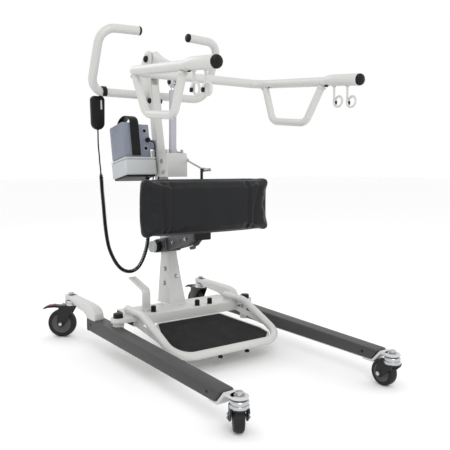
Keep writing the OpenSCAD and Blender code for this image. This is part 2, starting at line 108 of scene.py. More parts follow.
# %% [markdown]
# ## Shared shader groups
# Every finish on the lift has a grain, a slight change of tone and some dust. Each of
# these is a node group, built once, and each material sets its own amounts. All three
# read Object coordinates, so a pattern keeps its size on every part and needs no UV map.

# %% A node group with named sockets
def new_group(name, inputs, outputs):
    """An empty shader group with those sockets, and its input and output nodes."""
    group = bpy.data.node_groups.new(name, "ShaderNodeTree")
    for label, kind, value in inputs:
        made = group.interface.new_socket(name=label, in_out="INPUT", socket_type=kind)
        made.default_value = value
    for label, kind in outputs:
        group.interface.new_socket(name=label, in_out="OUTPUT", socket_type=kind)
    return group, group.nodes.new("NodeGroupInput"), group.nodes.new("NodeGroupOutput")


FLOAT = "NodeSocketFloat"
COLOUR = "NodeSocketColor"


def noise(tree, scale, detail=3.0, roughness=0.5):
    """A noise texture on Object coordinates. scale is a socket or a number."""
    place = tree.nodes.new("ShaderNodeTexCoord")
    texture = tree.nodes.new("ShaderNodeTexNoise")
    texture.inputs["Detail"].default_value = detail
    texture.inputs["Roughness"].default_value = roughness
    tree.links.new(place.outputs["Object"], texture.inputs["Vector"])
    if isinstance(scale, (int, float)):
        texture.inputs["Scale"].default_value = scale
    else:
        tree.links.new(scale, texture.inputs["Scale"])
    return texture.outputs["Fac"]


def maths(tree, operation, a, b=0.5, c=0.5):
    """A math node on sockets or numbers."""
    node = tree.nodes.new("ShaderNodeMath")
    node.operation = operation
    for slot, value in zip(node.inputs, (a, b, c)):
        if isinstance(value, (int, float)):
            slot.default_value = value
        else:
            tree.links.new(value, slot)
    return node.outputs[0]


def blend_colour(tree, amount, a, b, mode="MIX"):
    """A colour mix node on sockets or colours."""
    node = tree.nodes.new("ShaderNodeMix")
    node.data_type = "RGBA"
    node.blend_type = mode
    for slot, value in zip((node.inputs[0], node.inputs[6], node.inputs[7]), (amount, a, b)):
        if isinstance(value, (int, float, tuple)):
            slot.default_value = value
        else:
            tree.links.new(value, slot)
    return node.outputs[2]


print("helpers for shader groups are ready")

# %% Grain, tone and dust
grain_group, g_in, g_out = new_group(
    "surface_grain",
    [("Scale", FLOAT, 900.0), ("Roughness", FLOAT, 0.4), ("Spread", FLOAT, 0.1)],
    [("Height", FLOAT), ("Roughness", FLOAT)],
)
fine = noise(grain_group, g_in.outputs["Scale"], 2.0)
broad = noise(grain_group, 14.0, 4.0, 0.6)
grain_group.links.new(fine, g_out.inputs["Height"])
uneven = maths(grain_group, "MULTIPLY_ADD", broad, g_in.outputs["Spread"], g_in.outputs["Roughness"])
centred = maths(grain_group, "MULTIPLY_ADD", g_in.outputs["Spread"], -0.5, uneven)
grain_group.links.new(centred, g_out.inputs["Roughness"])

tone_group, t_in, t_out = new_group(
    "tone_drift",
    [("Colour", COLOUR, (0.5, 0.5, 0.5, 1)), ("Amount", FLOAT, 0.08), ("Scale", FLOAT, 6.0)],
    [("Colour", COLOUR)],
)
drift = maths(tone_group, "SUBTRACT", noise(tone_group, t_in.outputs["Scale"], 5.0, 0.6), 0.5)
factor = maths(tone_group, "MULTIPLY_ADD", drift, t_in.outputs["Amount"], 1.0)
scaled = tone_group.nodes.new("ShaderNodeVectorMath")
scaled.operation = "SCALE"
tone_group.links.new(t_in.outputs["Colour"], scaled.inputs[0])
tone_group.links.new(factor, scaled.inputs["Scale"])
tone_group.links.new(scaled.outputs[0], t_out.inputs["Colour"])

dust_group, d_in, d_out = new_group(
    "settled_dust",
    [("Colour", COLOUR, (0.5, 0.5, 0.5, 1)), ("Dust", COLOUR, (0.55, 0.53, 0.5, 1)),
     ("Amount", FLOAT, 0.1)],
    [("Colour", COLOUR)],
)
surface = dust_group.nodes.new("ShaderNodeNewGeometry")
split = dust_group.nodes.new("ShaderNodeSeparateXYZ")
dust_group.links.new(surface.outputs["Normal"], split.inputs[0])
upward = maths(dust_group, "MAXIMUM", split.outputs["Z"], 0.15)
patchy = maths(dust_group, "MULTIPLY", upward, noise(dust_group, 22.0, 6.0, 0.65))
dust_mask = maths(dust_group, "MULTIPLY", patchy, d_in.outputs["Amount"])
dust_group.links.new(
    blend_colour(dust_group, dust_mask, d_in.outputs["Colour"], d_in.outputs["Dust"]),
    d_out.inputs["Colour"],
)
print("groups:", grain_group.name, tone_group.name, dust_group.name)

# %% [markdown]
# ## Materials
# Every part has one of sixteen finishes: powder coat, moulded plastic, zinc plating,
# rubber and so on. They differ in colour, gloss and grain, so one function builds them
# all from those few numbers. Colours are what the eye sees, taken to linear light.

# %% The function that builds a finish
finishes = {}


def linear(shade):
    """A colour seen on a screen as linear light."""
    return tuple(((c + 0.055) / 1.055) ** 2.4 if c > 0.04 else c / 12.92 for c in shade) + (1.0,)


def place_group(tree, group, **values):
    """A shared group placed in a material, with the material's own values."""
    node = tree.nodes.new("ShaderNodeGroup")
    node.node_tree = group
    for label, value in values.items():
        node.inputs[label].default_value = value
    return node


def finish_material(
    name, shade, rough, spread=0.1, metal=0.0, coat=0.0, grain=900.0, depth=0.02, drift=0.1,
    dust=0.1, shine=0.5,
):
    """A procedural finish: tone and dust on the colour, grain on the gloss and the bump."""
    made = bpy.data.materials.new(name)
    made.use_nodes = True
    tree = made.node_tree
    shader = tree.nodes["Principled BSDF"]
    shader.inputs["Metallic"].default_value = metal
    shader.inputs["Coat Weight"].default_value = coat
    shader.inputs["Specular IOR Level"].default_value = shine
    shader.inputs["Coat Roughness"].default_value = 0.18
    tone = place_group(tree, tone_group, Colour=linear(shade), Amount=drift)
    dusty = place_group(tree, dust_group, Amount=dust)
    tree.links.new(tone.outputs["Colour"], dusty.inputs["Colour"])
    tree.links.new(dusty.outputs["Colour"], shader.inputs["Base Color"])
    grained = place_group(tree, grain_group, Scale=grain, Roughness=rough, Spread=spread)
    tree.links.new(grained.outputs["Roughness"], shader.inputs["Roughness"])
    bump = tree.nodes.new("ShaderNodeBump")
    bump.inputs["Strength"].default_value = 1.0
    bump.inputs["Distance"].default_value = depth / 1000
    tree.links.new(grained.outputs["Height"], bump.inputs["Height"])
    tree.links.new(bump.outputs["Normal"], shader.inputs["Normal"])
    finishes[name] = made
    return made


print("finish function is ready")

# %% The plain finishes
finish_material(
    "white_powder_coat", (0.77, 0.77, 0.76), 0.34, 0.12, coat=0.15, grain=420, depth=0.05,
    drift=0.05, dust=0.04,
)
finish_material(
    "dark_leg_cover", (0.25, 0.25, 0.255), 0.46, 0.16, grain=1300, depth=0.05, drift=0.22,
    dust=0.06, shine=0.22,
)
finish_material(
    "black_plastic", (0.045, 0.045, 0.05), 0.4, 0.12, grain=1500, depth=0.03, drift=0.3,
    dust=0.02, shine=0.22,
)
finish_material(
    "zinc", (0.74, 0.75, 0.76), 0.27, 0.14, metal=1.0, grain=700, depth=0.015, drift=0.3,
    dust=0.04,
)
finish_material(
    "black_fork", (0.06, 0.06, 0.065), 0.34, 0.16, coat=0.2, grain=500, depth=0.05, drift=0.3,
    dust=0.05, shine=0.22,
)
finish_material(
    "grey_tube", (0.70, 0.69, 0.73), 0.3, 0.1, metal=0.35, grain=900, depth=0.01, drift=0.08,
    dust=0.04,
)
finish_material(
    "cast_grey", (0.34, 0.34, 0.35), 0.5, 0.16, metal=0.55, grain=300, depth=0.16, drift=0.3,
    dust=0.14,
)
finish_material(
    "tyre", (0.1, 0.1, 0.105), 0.6, 0.2, grain=800, depth=0.08, drift=0.35, dust=0.12, shine=0.22,
)
finish_material(
    "wheel_hub", (0.3, 0.3, 0.31), 0.45, 0.16, grain=900, depth=0.04, drift=0.2, dust=0.08,
    shine=0.22,
)
finish_material(
    "battery_grey", (0.49, 0.52, 0.575), 0.5, 0.12, grain=1100, depth=0.06, drift=0.08, dust=0.1,
)
finish_material(
    "box_grey", (0.74, 0.75, 0.755), 0.46, 0.12, grain=1100, depth=0.05, drift=0.05, dust=0.06,
)
finish_material(
    "button_grey", (0.72, 0.73, 0.75), 0.55, 0.1, grain=1400, depth=0.04, drift=0.06, dust=0.04,
)
finish_material(
    "red_pedal", (0.42, 0.07, 0.08), 0.45, 0.12, grain=1200, depth=0.04, drift=0.2, dust=0.06,
)
finish_material(
    "cord_black", (0.045, 0.045, 0.05), 0.46, 0.14, grain=1600, depth=0.03, drift=0.3, dust=0.03,
    shine=0.22,
)
print(len(finishes), "finishes so far")

# %% [markdown]
# ## Shapes
# The lift is made of few kinds of shape: blocks, plates cut to an outline, bars, bent
# tubes and turned parts. Each gets a function. Blocks, plates and bars have their edges
# rounded, because a real edge is never sharp and it is what catches the light. Turned
# parts have their roundings in the profile that is spun, and a bent tube is a bevelled
# curve made into a mesh.

# %% Blocks, plates and bars
def round_edges(shape, width, segments=2, least=30):
    """Bevels the edges that turn by more than that many degrees."""
    if width <= 0:
        return shape
    edges = [
        e for e in shape.edges
        if len(e.link_faces) == 2 and e.calc_face_angle(0) > math.radians(least)
    ]
    bmesh.ops.bevel(
        shape, geom=edges, offset=width, offset_type="OFFSET", affect="EDGES",
        segments=segments, profile=0.5, material=-1, clamp_overlap=True,
    )
    return shape


def block(low, high, edge=2.0, segments=2):
    """A box between two corners with rounded edges."""
    shape = bmesh.new()
    low, high = Vector(low), Vector(high)
    bmesh.ops.create_cube(shape, size=1)
    bmesh.ops.scale(shape, vec=high - low, verts=shape.verts)
    bmesh.ops.translate(shape, vec=(low + high) / 2, verts=shape.verts)
    return round_edges(shape, edge, segments)


def prism(outline, thickness, edge=1.5, segments=2, least=30):
    """An outline in X and Y, as thick as that upwards, with its edges rounded."""
    shape = bmesh.new()
    ring = [shape.verts.new((x, y, 0)) for x, y in outline]
    face = shape.faces.new(ring)
    grown = bmesh.ops.extrude_face_region(shape, geom=[face])["geom"]
    top = [v for v in grown if isinstance(v, bmesh.types.BMVert)]
    bmesh.ops.translate(shape, vec=(0, 0, thickness), verts=top)
    bmesh.ops.recalc_face_normals(shape, faces=shape.faces)
    return round_edges(shape, edge, segments, least)


def moved(shape, *steps):
    """The same shape after each matrix in turn."""
    for step in steps:
        bmesh.ops.transform(shape, matrix=step, verts=shape.verts)
    return shape


def side_plate(outline, x, thickness, edge=1.5, segments=2, least=30):
    """A plate whose outline is in Y and Z, centred on x."""
    shape = prism(outline, thickness, edge, segments, least)
    stand = Matrix(((0, 0, 1, x - thickness / 2), (1, 0, 0, 0), (0, 1, 0, 0), (0, 0, 0, 1)))
    return moved(shape, stand)


def facing(start, direction):
    """The matrix that brings +Z at the origin to a direction at a place."""
    turn = Vector((0, 0, 1)).rotation_difference(Vector(direction))
    return Matrix.Translation(start) @ turn.to_matrix().to_4x4()


def bar(a, b, diameter, edge=1.0, sides=32):
    """A round bar between two places with chamfered ends."""
    a, b = Vector(a), Vector(b)
    shape = bmesh.new()
    bmesh.ops.create_cone(
        shape, cap_ends=True, segments=sides, radius1=diameter / 2, radius2=diameter / 2,
        depth=(b - a).length,
    )
    round_edges(shape, edge, 2, 60)
    return moved(shape, facing((a + b) / 2, b - a))


print("a test block has", len(block((0, 0, 0), (10, 10, 10)).faces), "faces")

# %% Turned parts and bent tubes
def lathe(profile, start, direction, steps=40):
    """A profile of (radius, height) spun round a direction from a place."""
    shape = bmesh.new()
    points = [shape.verts.new((r, 0, h)) for r, h in profile]
    line = [shape.edges.new(pair) for pair in zip(points, points[1:])]
    bmesh.ops.spin(
        shape, geom=points + line, cent=(0, 0, 0), axis=(0, 0, 1), angle=math.tau,
        steps=steps, use_merge=True, use_duplicate=False,
    )
    bmesh.ops.remove_doubles(shape, verts=shape.verts, dist=0.001)
    bmesh.ops.recalc_face_normals(shape, faces=shape.faces)
    return moved(shape, facing(start, direction))


def rounded_path(corners, radii, step=math.radians(6)):
    """The corners joined by straights, with an arc of its radius at each."""
    corners = [Vector(c) for c in corners]
    path = [corners[0]]
    for before, corner, after, radius in zip(corners, corners[1:], corners[2:], radii[1:]):
        into, out = (corner - before).normalized(), (after - corner).normalized()
        turn = into.angle(out)
        start = corner - into * radius * math.tan(turn / 2)
        axis = into.cross(out).normalized()
        centre = start + axis.cross(into) * radius
        steps = max(3, round(turn / step))
        for i in range(steps + 1):
            path.append(centre + Matrix.Rotation(turn * i / steps, 3, axis) @ (start - centre))
    return path + [corners[-1]]


def swept(path, diameter, sides=28, caps=True):
    """A round tube along a path, made by a bevelled curve."""
    data = bpy.data.curves.new("sweep", "CURVE")
    data.dimensions = "3D"
    data.bevel_depth = diameter / 2
    data.bevel_resolution = sides // 4 - 1
    data.use_fill_caps = caps
    spline = data.splines.new("POLY")
    spline.points.add(len(path) - 1)
    for point, place in zip(spline.points, path):
        point.co = (*place, 1)
    carrier = bpy.data.objects.new("sweep", data)
    scene.collection.objects.link(carrier)
    mesh = bpy.data.meshes.new_from_object(
        carrier.evaluated_get(bpy.context.evaluated_depsgraph_get())
    )
    shape = bmesh.new()
    shape.from_mesh(mesh)
    bpy.data.objects.remove(carrier)
    bpy.data.curves.remove(data)
    bpy.data.meshes.remove(mesh)
    bmesh.ops.remove_doubles(shape, verts=shape.verts, dist=0.01)
    return shape


def mirrored(*shapes):
    """The shapes and their copies on the other side of the lift."""
    pairs = list(shapes)
    for shape in shapes:
        other = shape.copy()
        bmesh.ops.scale(other, vec=(-1, 1, 1), verts=other.verts)
        bmesh.ops.reverse_faces(other, faces=other.faces)
        pairs.append(other)
    return pairs


test_part = lathe([(0, 0), (5, 0), (5, 5), (0, 5)], (0, 0, 0), (0, 0, 1))
print("a turned test part has", len(test_part.faces), "faces")

# %% [markdown]
# ## From shape to piece
# A piece is one object that rides on a body of the mechanical model. Joining its shapes,
# shading it smooth except at its creases, giving it its finish and hiding the plain solid
# that it stands for are the same each time, so they are one call.

# %% The call that makes a piece
def piece(name, shapes, body, slot, stands_for=(), finish=None, crease=32):
    """One object of several shapes, in its place, on its body, in its finish."""
    joined = bmesh.new()
    for shape in shapes:
        part = bpy.data.meshes.new("part")
        shape.to_mesh(part)
        joined.from_mesh(part)
        shape.free()
        bpy.data.meshes.remove(part)
    moved(joined, TO_MODEL)
    mesh = bpy.data.meshes.new(name)
    joined.to_mesh(mesh)
    joined.free()
    mesh.polygons.foreach_set("use_smooth", [True] * len(mesh.polygons))
    mesh.set_sharp_from_angle(angle=math.radians(crease))
    made = bpy.data.objects.new(name, mesh)
    scene.collection.objects.link(made)
    made.data.materials.append(finishes[finish or slot])
    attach(made, body)
    if stands_for:
        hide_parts(*stands_for)
    return made


def hex_bolt(start, direction, across, height, washer=0.0):
    """A hexagon head standing on a place, on a washer if one is asked for."""
    shapes = []
    base = 0.0
    if washer:
        base = 1.4
        shapes.append(
            lathe([(0, 0), (washer / 2, 0), (washer / 2, base), (0, base)], start, direction)
        )
    head = bmesh.new()
    bmesh.ops.create_cone(
        head, cap_ends=True, segments=6, radius1=across / math.sqrt(3),
        radius2=across / math.sqrt(3), depth=height,
    )
    bmesh.ops.translate(head, vec=(0, 0, base + height / 2), verts=head.verts)
    round_edges(head, height * 0.12, 2, 50)
    shapes.append(moved(head, facing(start, direction)))
    return shapes


def cap_profile(radius, height, rim=1.5):
    """The profile of a plastic bolt cap: a short skirt under a low dome."""
    dome = [
        (radius * math.cos(a), rim + (height - rim) * math.sin(a))
        for a in [math.radians(90) * i / 8 for i in range(9)]
    ]
    return [(0, 0), (radius + 0.8, 0), (radius + 0.8, rim * 0.6)] + dome[:-1] + [(0, height)]


def flat_cap(radius, height):
    """The profile of a taller plastic cap, with a flat top and a rounded shoulder."""
    shoulder = [
        (radius - 3 + 3 * math.cos(a), height - 3 + 3 * math.sin(a))
        for a in [math.radians(15) * i for i in range(7)]
    ]
    return [(0, 0), (radius + 0.7, 0), (radius + 0.7, 1.6), (radius, 2.2)] + shoulder + [(0, height)]


# %% [markdown]
# ## The pendant's lead
# The hand pendant's lead leaves its foot, runs straight down for a hand's length, and is
# curled from there, like a telephone's, so that the carer can walk round the lift. A
# curled lead is a helix about the line that its coil hangs along. It could be a fat tube
# with a bump, but up close only a real wire wound in a loop looks right. A frame carried
# along the line, turned as little as possible, keeps the turns even round the bends.

# %% A smooth line through chosen points
def smooth_line(points, steps=8):
    """A curve through the points, with that many steps between each pair."""
    points = [Vector(p) for p in points]
    ends = [2 * points[0] - points[1]] + points + [2 * points[-1] - points[-2]]
    line = []
    for a, b, c, d in zip(ends, ends[1:], ends[2:], ends[3:]):
        for i in range(steps):
            t = i / steps
            line.append(
                0.5 * (2 * b + (c - a) * t + (2 * a - 5 * b + 4 * c - d) * t ** 2
                       + (3 * b - a - 3 * c + d) * t ** 3)
            )
    return line + [points[-1]]


def line_length(line):
    """The length of a line through its places."""
    return sum((b - a).length for a, b in zip(line, line[1:]))


STRAIGHT = [
    (-194, 319, 738), (-194, 318, 720), (-195, 316, 700), (-195, 314, 675), (-194, 311, 650),
    (-194, 308, 625), (-193, 305, 605), (-193, 303, 588),
]
COILED = [
    (-193, 303, 588), (-192, 300, 560), (-192, 297, 530), (-191, 290, 477), (-190, 279, 400),
    (-186, 267, 339), (-177, 257, 302), (-163, 246, 270), (-147, 235, 252), (-130, 225, 246),
    (-114, 214, 251), (-101, 203, 266), (-89, 192, 297), (-80, 183, 339), (-76, 179, 385),
    (-73, 180, 440), (-69, 188, 500), (-66, 196, 540), (-66, 199, 561),
]
print("coiled stretch, mm:", round(line_length(smooth_line(COILED))))

# %% The helix along the coiled stretch
WIRE_D = 5.0
COIL_RADIUS = 4.75
COIL_PITCH = 6.1
TURN_STEPS = 14


def helix_along(line, radius, pitch, steps):
    """A wire wound round a line, opening from it and closing onto it at the ends."""
    along = [0.0]
    for a, b in zip(line, line[1:]):
        along.append(along[-1] + (b - a).length)
    total = along[-1]
    count = int(total / pitch * steps)
    side = (line[1] - line[0]).orthogonal().normalized()
    wire, k = [], 0
    for i in range(count + 1):
        place = total * i / count
        while k < len(line) - 2 and along[k + 1] < place:
            k += 1
        tangent = (line[k + 1] - line[k]).normalized()
        side = (side - tangent * side.dot(tangent)).normalized()
        centre = line[k] + tangent * (place - along[k])
        ease = min(1.0, place / (2 * pitch), (total - place) / (2 * pitch))
        turned = Matrix.Rotation(math.tau * i / steps, 3, tangent) @ side
        wire.append(centre + turned * radius * ease)
    return wire


lead_line = smooth_line(STRAIGHT, 4)[:-1] + helix_along(
    smooth_line(COILED, 6), COIL_RADIUS, COIL_PITCH, TURN_STEPS
)
print("wire in the lead, mm:", round(line_length(lead_line)))

# %% Cords as curves
def cord_piece(name, line, diameter, finish, sides=12):
    """A cord as one open curve through the line's places."""
    data = bpy.data.curves.new(name, "CURVE")
    data.dimensions = "3D"
    data.bevel_depth = diameter / 2000
    data.bevel_resolution = sides // 4 - 1
    data.use_fill_caps = True
    spline = data.splines.new("POLY")
    spline.points.add(len(line) - 1)
    for point, place in zip(spline.points, line):
        point.co = (*spot(*place), 1)
    spline.use_smooth = True
    data.materials.append(finishes[finish])
    made = bpy.data.objects.new(name, data)
    scene.collection.objects.link(made)
    return made


lead = cord_piece("pendant_lead", lead_line, WIRE_D, "cord_black")
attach(lead, "base")
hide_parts("pendant_cord", "pendant_coil")

LEAD = [
    (-50, 205, 697), (-45, 198, 696), (-42, 191, 688), (-42, 187, 672), (-42, 186, 650),
    (-42, 188, 625), (-42, 192, 600), (-42, 199, 580), (-41, 206, 564), (-37, 210, 553),
    (-31, 209, 548), (-25, 205, 553), (-22, 202, 566), (-22, 202, 585), (-23, 205, 600),
    (-24, 212, 612),
]
MOTOR_LEAD_D = 4.5
motor_line = smooth_line(LEAD, 4)
motor_lead = cord_piece("motor_lead", motor_line, MOTOR_LEAD_D, "cord_black", 16)
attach(motor_lead, "base")
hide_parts("box_cable")
print("motor lead, mm:", round(line_length(motor_line)))

# %% [markdown]
# ## Cross beam
# The base is a flat box of steel plate with an ear at each end, where a leg is pivoted.
# On the beam stand three capped bolts. The box could be put together from plates, as the
# real one is, but nobody sees inside it, so it is one block with rounded edges. Each ear is
# a plate whose end is an arc about its pivot, so the wall round the bolt is even.

# %% Cross beam and its ears
BEAM_TOP, BEAM_H, BEAM_X = 135, 34, 205
PIVOT = (250, 58)


def arc(centre, radius, start, end, steps=14):
    """Points on an arc, with its angles in degrees."""
    angles = [math.radians(start + (end - start) * i / steps) for i in range(steps + 1)]
    return [(centre[0] + radius * math.cos(a), centre[1] + radius * math.sin(a)) for a in angles]


ear_outline = [(BEAM_X - 8, 32), (248, 32)] + arc(PIVOT, 24, -75, 75)
ear_outline += [(236, 108), (BEAM_X - 8, 112)]
ear = moved(prism(ear_outline, 15, 1.8), Matrix.Translation((0, 0, BEAM_TOP - 15.2)))
piece(
    "beam_box",
    [block((-BEAM_X, 40, BEAM_TOP - BEAM_H), (BEAM_X, 165, BEAM_TOP), 3.5, 3)] + mirrored(ear),
    "base", "white_powder_coat", ["cross_beam"],
)
end_plates = mirrored(block(
    (BEAM_X - 0.5, 43, BEAM_TOP - BEAM_H + 3), (BEAM_X + 1.2, 162, BEAM_TOP - 3), 0.5, 1
))
piece("beam_end_plates", end_plates, "base", "black_plastic", finish="dark_leg_cover")

caps = []
for x, y in ((44, 56), (95, 56), (-121, 64)):
    caps.append(lathe(flat_cap(8.4, 20), (x, y, BEAM_TOP), (0, 0, 1)))
piece("beam_caps", caps, "base", "black_plastic", ["beam_bolt_caps"])

pivot_caps = mirrored(lathe(flat_cap(15.4, 14), (*PIVOT, BEAM_TOP), (0, 0, 1)))
pivot_caps += mirrored(
    lathe([(0, 12.6), (7, 12.6), (7, 14.4), (5.6, 14.9), (0, 14.9)], (*PIVOT, BEAM_TOP), (0, 0, 1)),
    bar((*PIVOT, 62), (*PIVOT, BEAM_TOP), 16),
)
piece("pivot_caps", pivot_caps, "base", "black_plastic", ["leg_pivot_bolts"])
print("beam is", 2 * BEAM_X, "mm between its end plates")

# %% [markdown]
# ## Mast
# The mast is a welded box: a wide foot that narrows upwards, with a front that slopes back,
# then a bend, and a column that leans back by ten degrees. Boxes could be stacked and
# tilted, but they would leave steps at the bend. So its outline is drawn from the side and
# given a thickness, and each corner is then moved out to the width that the mast has at
# that height.

# %% The mast's column
LEAN = math.radians(10)
BEND = (171, 300)


def mast_y(z):
    """The middle of the mast's column at a height."""
    return BEND[0] + (z - BEND[1]) * math.tan(LEAN)


def tapered(shape, half_widths):
    """Sets each vertex's X to the half width listed for its height, on its own side."""
    for vert in shape.verts:
        for (z0, w0), (z1, w1) in zip(half_widths, half_widths[1:]):
            if z0 - 0.01 <= vert.co.z <= z1 + 0.01:
                half = w0 + (w1 - w0) * (vert.co.z - z0) / (z1 - z0)
                vert.co.x = math.copysign(half, vert.co.x)
                break
    return shape


MAST_TOP = 900
mast = side_plate(
    [
        (109, 134.5), (132, 225), (147, 300), (mast_y(MAST_TOP) - 17, MAST_TOP),
        (mast_y(MAST_TOP) + 17, MAST_TOP), (195, 300), (196.5, 225), (198, 134.5),
    ],
    0, 2, 0,
)
tapered(mast, [(134.5, 32), (225, 25.5), (300, 20), (MAST_TOP, 13)])
round_edges(mast, 3.5, 3, 20)
piece("mast_column", [mast], "base", "white_powder_coat", ["mast_foot", "mast_tube"])

weld = tapered(
    side_plate([(106, 134.5), (108, 138.5), (199, 138.5), (201, 134.5)], 0, 2, 0),
    [(134.5, 35), (138.5, 32.2)],
)
round_edges(weld, 1.2, 2, 20)
piece("mast_weld_seam", [weld], "base", "white_powder_coat")

bolts = []
for z in (205, 255):
    half = 32 - 12 * (z - 135) / 165
    for s in (-1, 1):
        bolts += hex_bolt((s * (half - 0.6), 158, z), (s, 0, 0), 15, 6, 21)
bolts += hex_bolt((8, 133, 230), (0, -1, 0.2), 12, 6, 17)
bolts += [bar((8, 142, 228), (8, 126, 231.5), 8)]
piece("mast_side_bolts", bolts, "base", "zinc", ["mast_bolts"])
print("mast leans", round(math.degrees(LEAN)), "degrees")

# %% [markdown]
# ## Mast head
# Two thick plates are welded to the mast's sides and stand up behind it. They hold the
# boom's pivot in a round boss and carry the push handle. A spacer bar ties them. The top of
# each plate is an arc about the pivot, because straight cuts would leave its edge uneven
# round the boss.

# %% Side plates, bosses and pivot caps
BOOM_PIVOT = (282, 989)
head = []
for s in (-1, 1):
    outline = [
        (mast_y(800) - 15, 800), (mast_y(800) + 17, 800), (312, 846), (322, 872), (336, 912),
        (340, 940), (337, 966),
    ]
    outline += arc(BOOM_PIVOT, 30, 20, 165, 16) + [(262, 930), (264, 900)]
    head.append(side_plate(outline, s * 16.1, 6, 1.2, 2, 30))
    head.append(lathe(
        [(0, 0), (22, 0), (22, 1.6), (20.6, 2.8), (0, 2.8)], (s * 18.6, *BOOM_PIVOT), (s, 0, 0)
    ))
head.append(bar((-13.1, 318, 930), (13.1, 318, 930), 16))
piece("head_plates", head, "base", "white_powder_coat", ["mast_head"])

head_caps = []
for s in (-1, 1):
    head_caps.append(lathe(cap_profile(11, 11, 5), (s * 21.3, *BOOM_PIVOT), (s, 0, 0)))
    head_caps.append(lathe(cap_profile(9, 10, 5), (s * 19, 262, 842), (s, 0, 0)))
piece("head_bolt_caps", head_caps, "base", "black_plastic", ["boom_pivot_bolt"])
print("boom pivots", BOOM_PIVOT[1], "mm above the floor")

# %% [markdown]
# ## Bent tubes
# The push handle, the arms, the side grips and the foot frame are round tube bent cold
# round a former. A tube could be cylinders and parts of rings put end to end, but a circle
# swept along a line of straights and arcs has no joints to hide. A weld bead shows where a
# tube is joined to another.

# %% Push handle
HANDLE_Y, HANDLE_Z = 291, 863
handle_side = [
    (0, HANDLE_Y, HANDLE_Z), (230, HANDLE_Y, HANDLE_Z), (230, HANDLE_Y - 94, HANDLE_Z + 194),
    (98, HANDLE_Y - 102, HANDLE_Z + 197),
]


def both_sides(corners):
    """A line drawn from the middle outwards, joined to its mirror image."""
    return [(-x, y, z) for x, y, z in reversed(corners[1:])] + list(corners[1:])


def bead(a, b, diameter, size=2.4):
    """A weld bead round a bar's end, at a and facing b."""
    direction = (Vector(b) - Vector(a)).normalized()
    r = diameter / 2
    swell = [
        (r - 1 + (size + 1) * math.sin(t), size * 0.2 + size * 0.9 * (1 - math.cos(t)))
        for t in [math.radians(degrees) for degrees in (20, 45, 70, 90)]
    ]
    profile = [(r - 1.5, -0.6)] + swell + [(r - 0.4, size * 1.7), (r - 1.5, size * 1.7)]
    return lathe(profile, a, direction, 32)


handle = swept(rounded_path(both_sides(handle_side), [0, 52, 50, 50, 52, 0]), 29)
piece("handle_tube", [handle], "base", "white_powder_coat", ["push_handle"])
collar_profile = [(14, 0), (16.6, 0.4), (17, 1.6), (17, 3.4), (16.6, 4.6), (14, 5)]
collars = [lathe(collar_profile, (s * 19.1, HANDLE_Y, HANDLE_Z), (s, 0, 0)) for s in (-1, 1)]
piece("handle_weld_collars", collars, "base", "white_powder_coat")

plug_profile = [
    (0, -6), (12, -6), (12, 0), (14.9, 0), (14.9, 3.5), (14.2, 6.2), (11.8, 8.6), (7, 10), (0, 10.5),
]
ends = []
for s in (-1, 1):
    start = Vector((s * 98.2, HANDLE_Y - 102, HANDLE_Z + 197))
    ends.append(lathe(plug_profile, start, (-s, -0.06, 0.02)))
piece("handle_plugs", ends, "base", "black_plastic", ["handle_end_caps"])
print("handle tube has", 2 * len(handle_side) - 3, "straights")

# %% Foot frame
FOOT_X, FOOT_Y, FOOT_Z = 196, -212, 60
FOOT_TUBE_D = 25
foot_line = [
    (0, FOOT_Y, FOOT_Z), (FOOT_X, FOOT_Y, FOOT_Z), (FOOT_X, -8, 146), (FOOT_X, 104, 146),
]
foot = swept(rounded_path(both_sides(foot_line), [0, 80, 66, 66, 80, 0]), FOOT_TUBE_D)
stud = [(0, 0), (5, 0), (7.5, 1.5), (7.5, 6), (4, 7), (4, 12), (0, 12)]
feet = [lathe(stud, (x, FOOT_Y, 38), (0, 0, 1)) for x in (-45, 55)]
piece("foot_tube", [foot], "base", "white_powder_coat", ["foot_frame"])
piece("foot_tube_studs", feet, "base", "black_plastic", ["foot_plate_bolts"])
rail = side_plate([(42, 103), (42, 117), (-104, 104), (-136, 88), (-110, 84)], FOOT_X, 9, 1.8)
piece("foot_side_rails", mirrored(rail), "base", "white_powder_coat")
rests = mirrored(block((186, 44, BEAM_TOP - 0.5), (206, 102, BEAM_TOP + 3.4), 1.6))
piece("foot_tube_welds", rests, "base", "white_powder_coat")
print("foot frame stands", FOOT_Z - FOOT_TUBE_D / 2, "mm off the floor")

# %% [markdown]
# ## Foot plate and mat
# The plate is sheet steel on the tube frame, and a ribbed rubber mat is glued on top of it
# inside a raised rim. The three share one outline with an arc at each corner, drawn a
# little larger for the rim and larger again for the plate. The ribs could be a bump in the
# rubber's finish, but as real bars they catch the light along their edges.

# %% The plate's outline and its slope
FOOT_SLOPE = math.atan((97 - FOOT_Z) / 230)
on_foot = Matrix.Translation((0, -189, 62)) @ Matrix.Rotation(FOOT_SLOPE, 4, "X")


def softened_outline(points, radius):
    """A closed outline with every corner replaced by an arc."""
    flat = [Vector((x, y, 0)) for x, y in points]
    closed = [(flat[-1] + flat[0]) / 2] + flat + [(flat[-1] + flat[0]) / 2]
    path = rounded_path(closed, [0] + [radius] * len(flat) + [0], math.radians(12))
    return [(p.x, p.y) for p in path[:-1]]


def foot_outline(grow):
    """The foot plate's outline, that much larger than its mat all round."""
    corners = [
        (-120 - grow, 226 + grow), (-178 - grow, 70), (-178 - grow, 30 - grow / 2),
        (-140 - grow / 2, -6 - grow), (140 + grow / 2, -6 - grow), (178 + grow, 30 - grow / 2),
        (178 + grow, 70), (120 + grow, 226 + grow),
    ]
    return softened_outline(corners, 11)


plate = moved(prism(foot_outline(6), 4, 1.2), Matrix.Translation((0, 0, -6)), on_foot)
piece("foot_plate_sheet", [plate], "base", "white_powder_coat", ["foot_plate"])
print("plate slopes", round(math.degrees(FOOT_SLOPE), 1), "degrees")

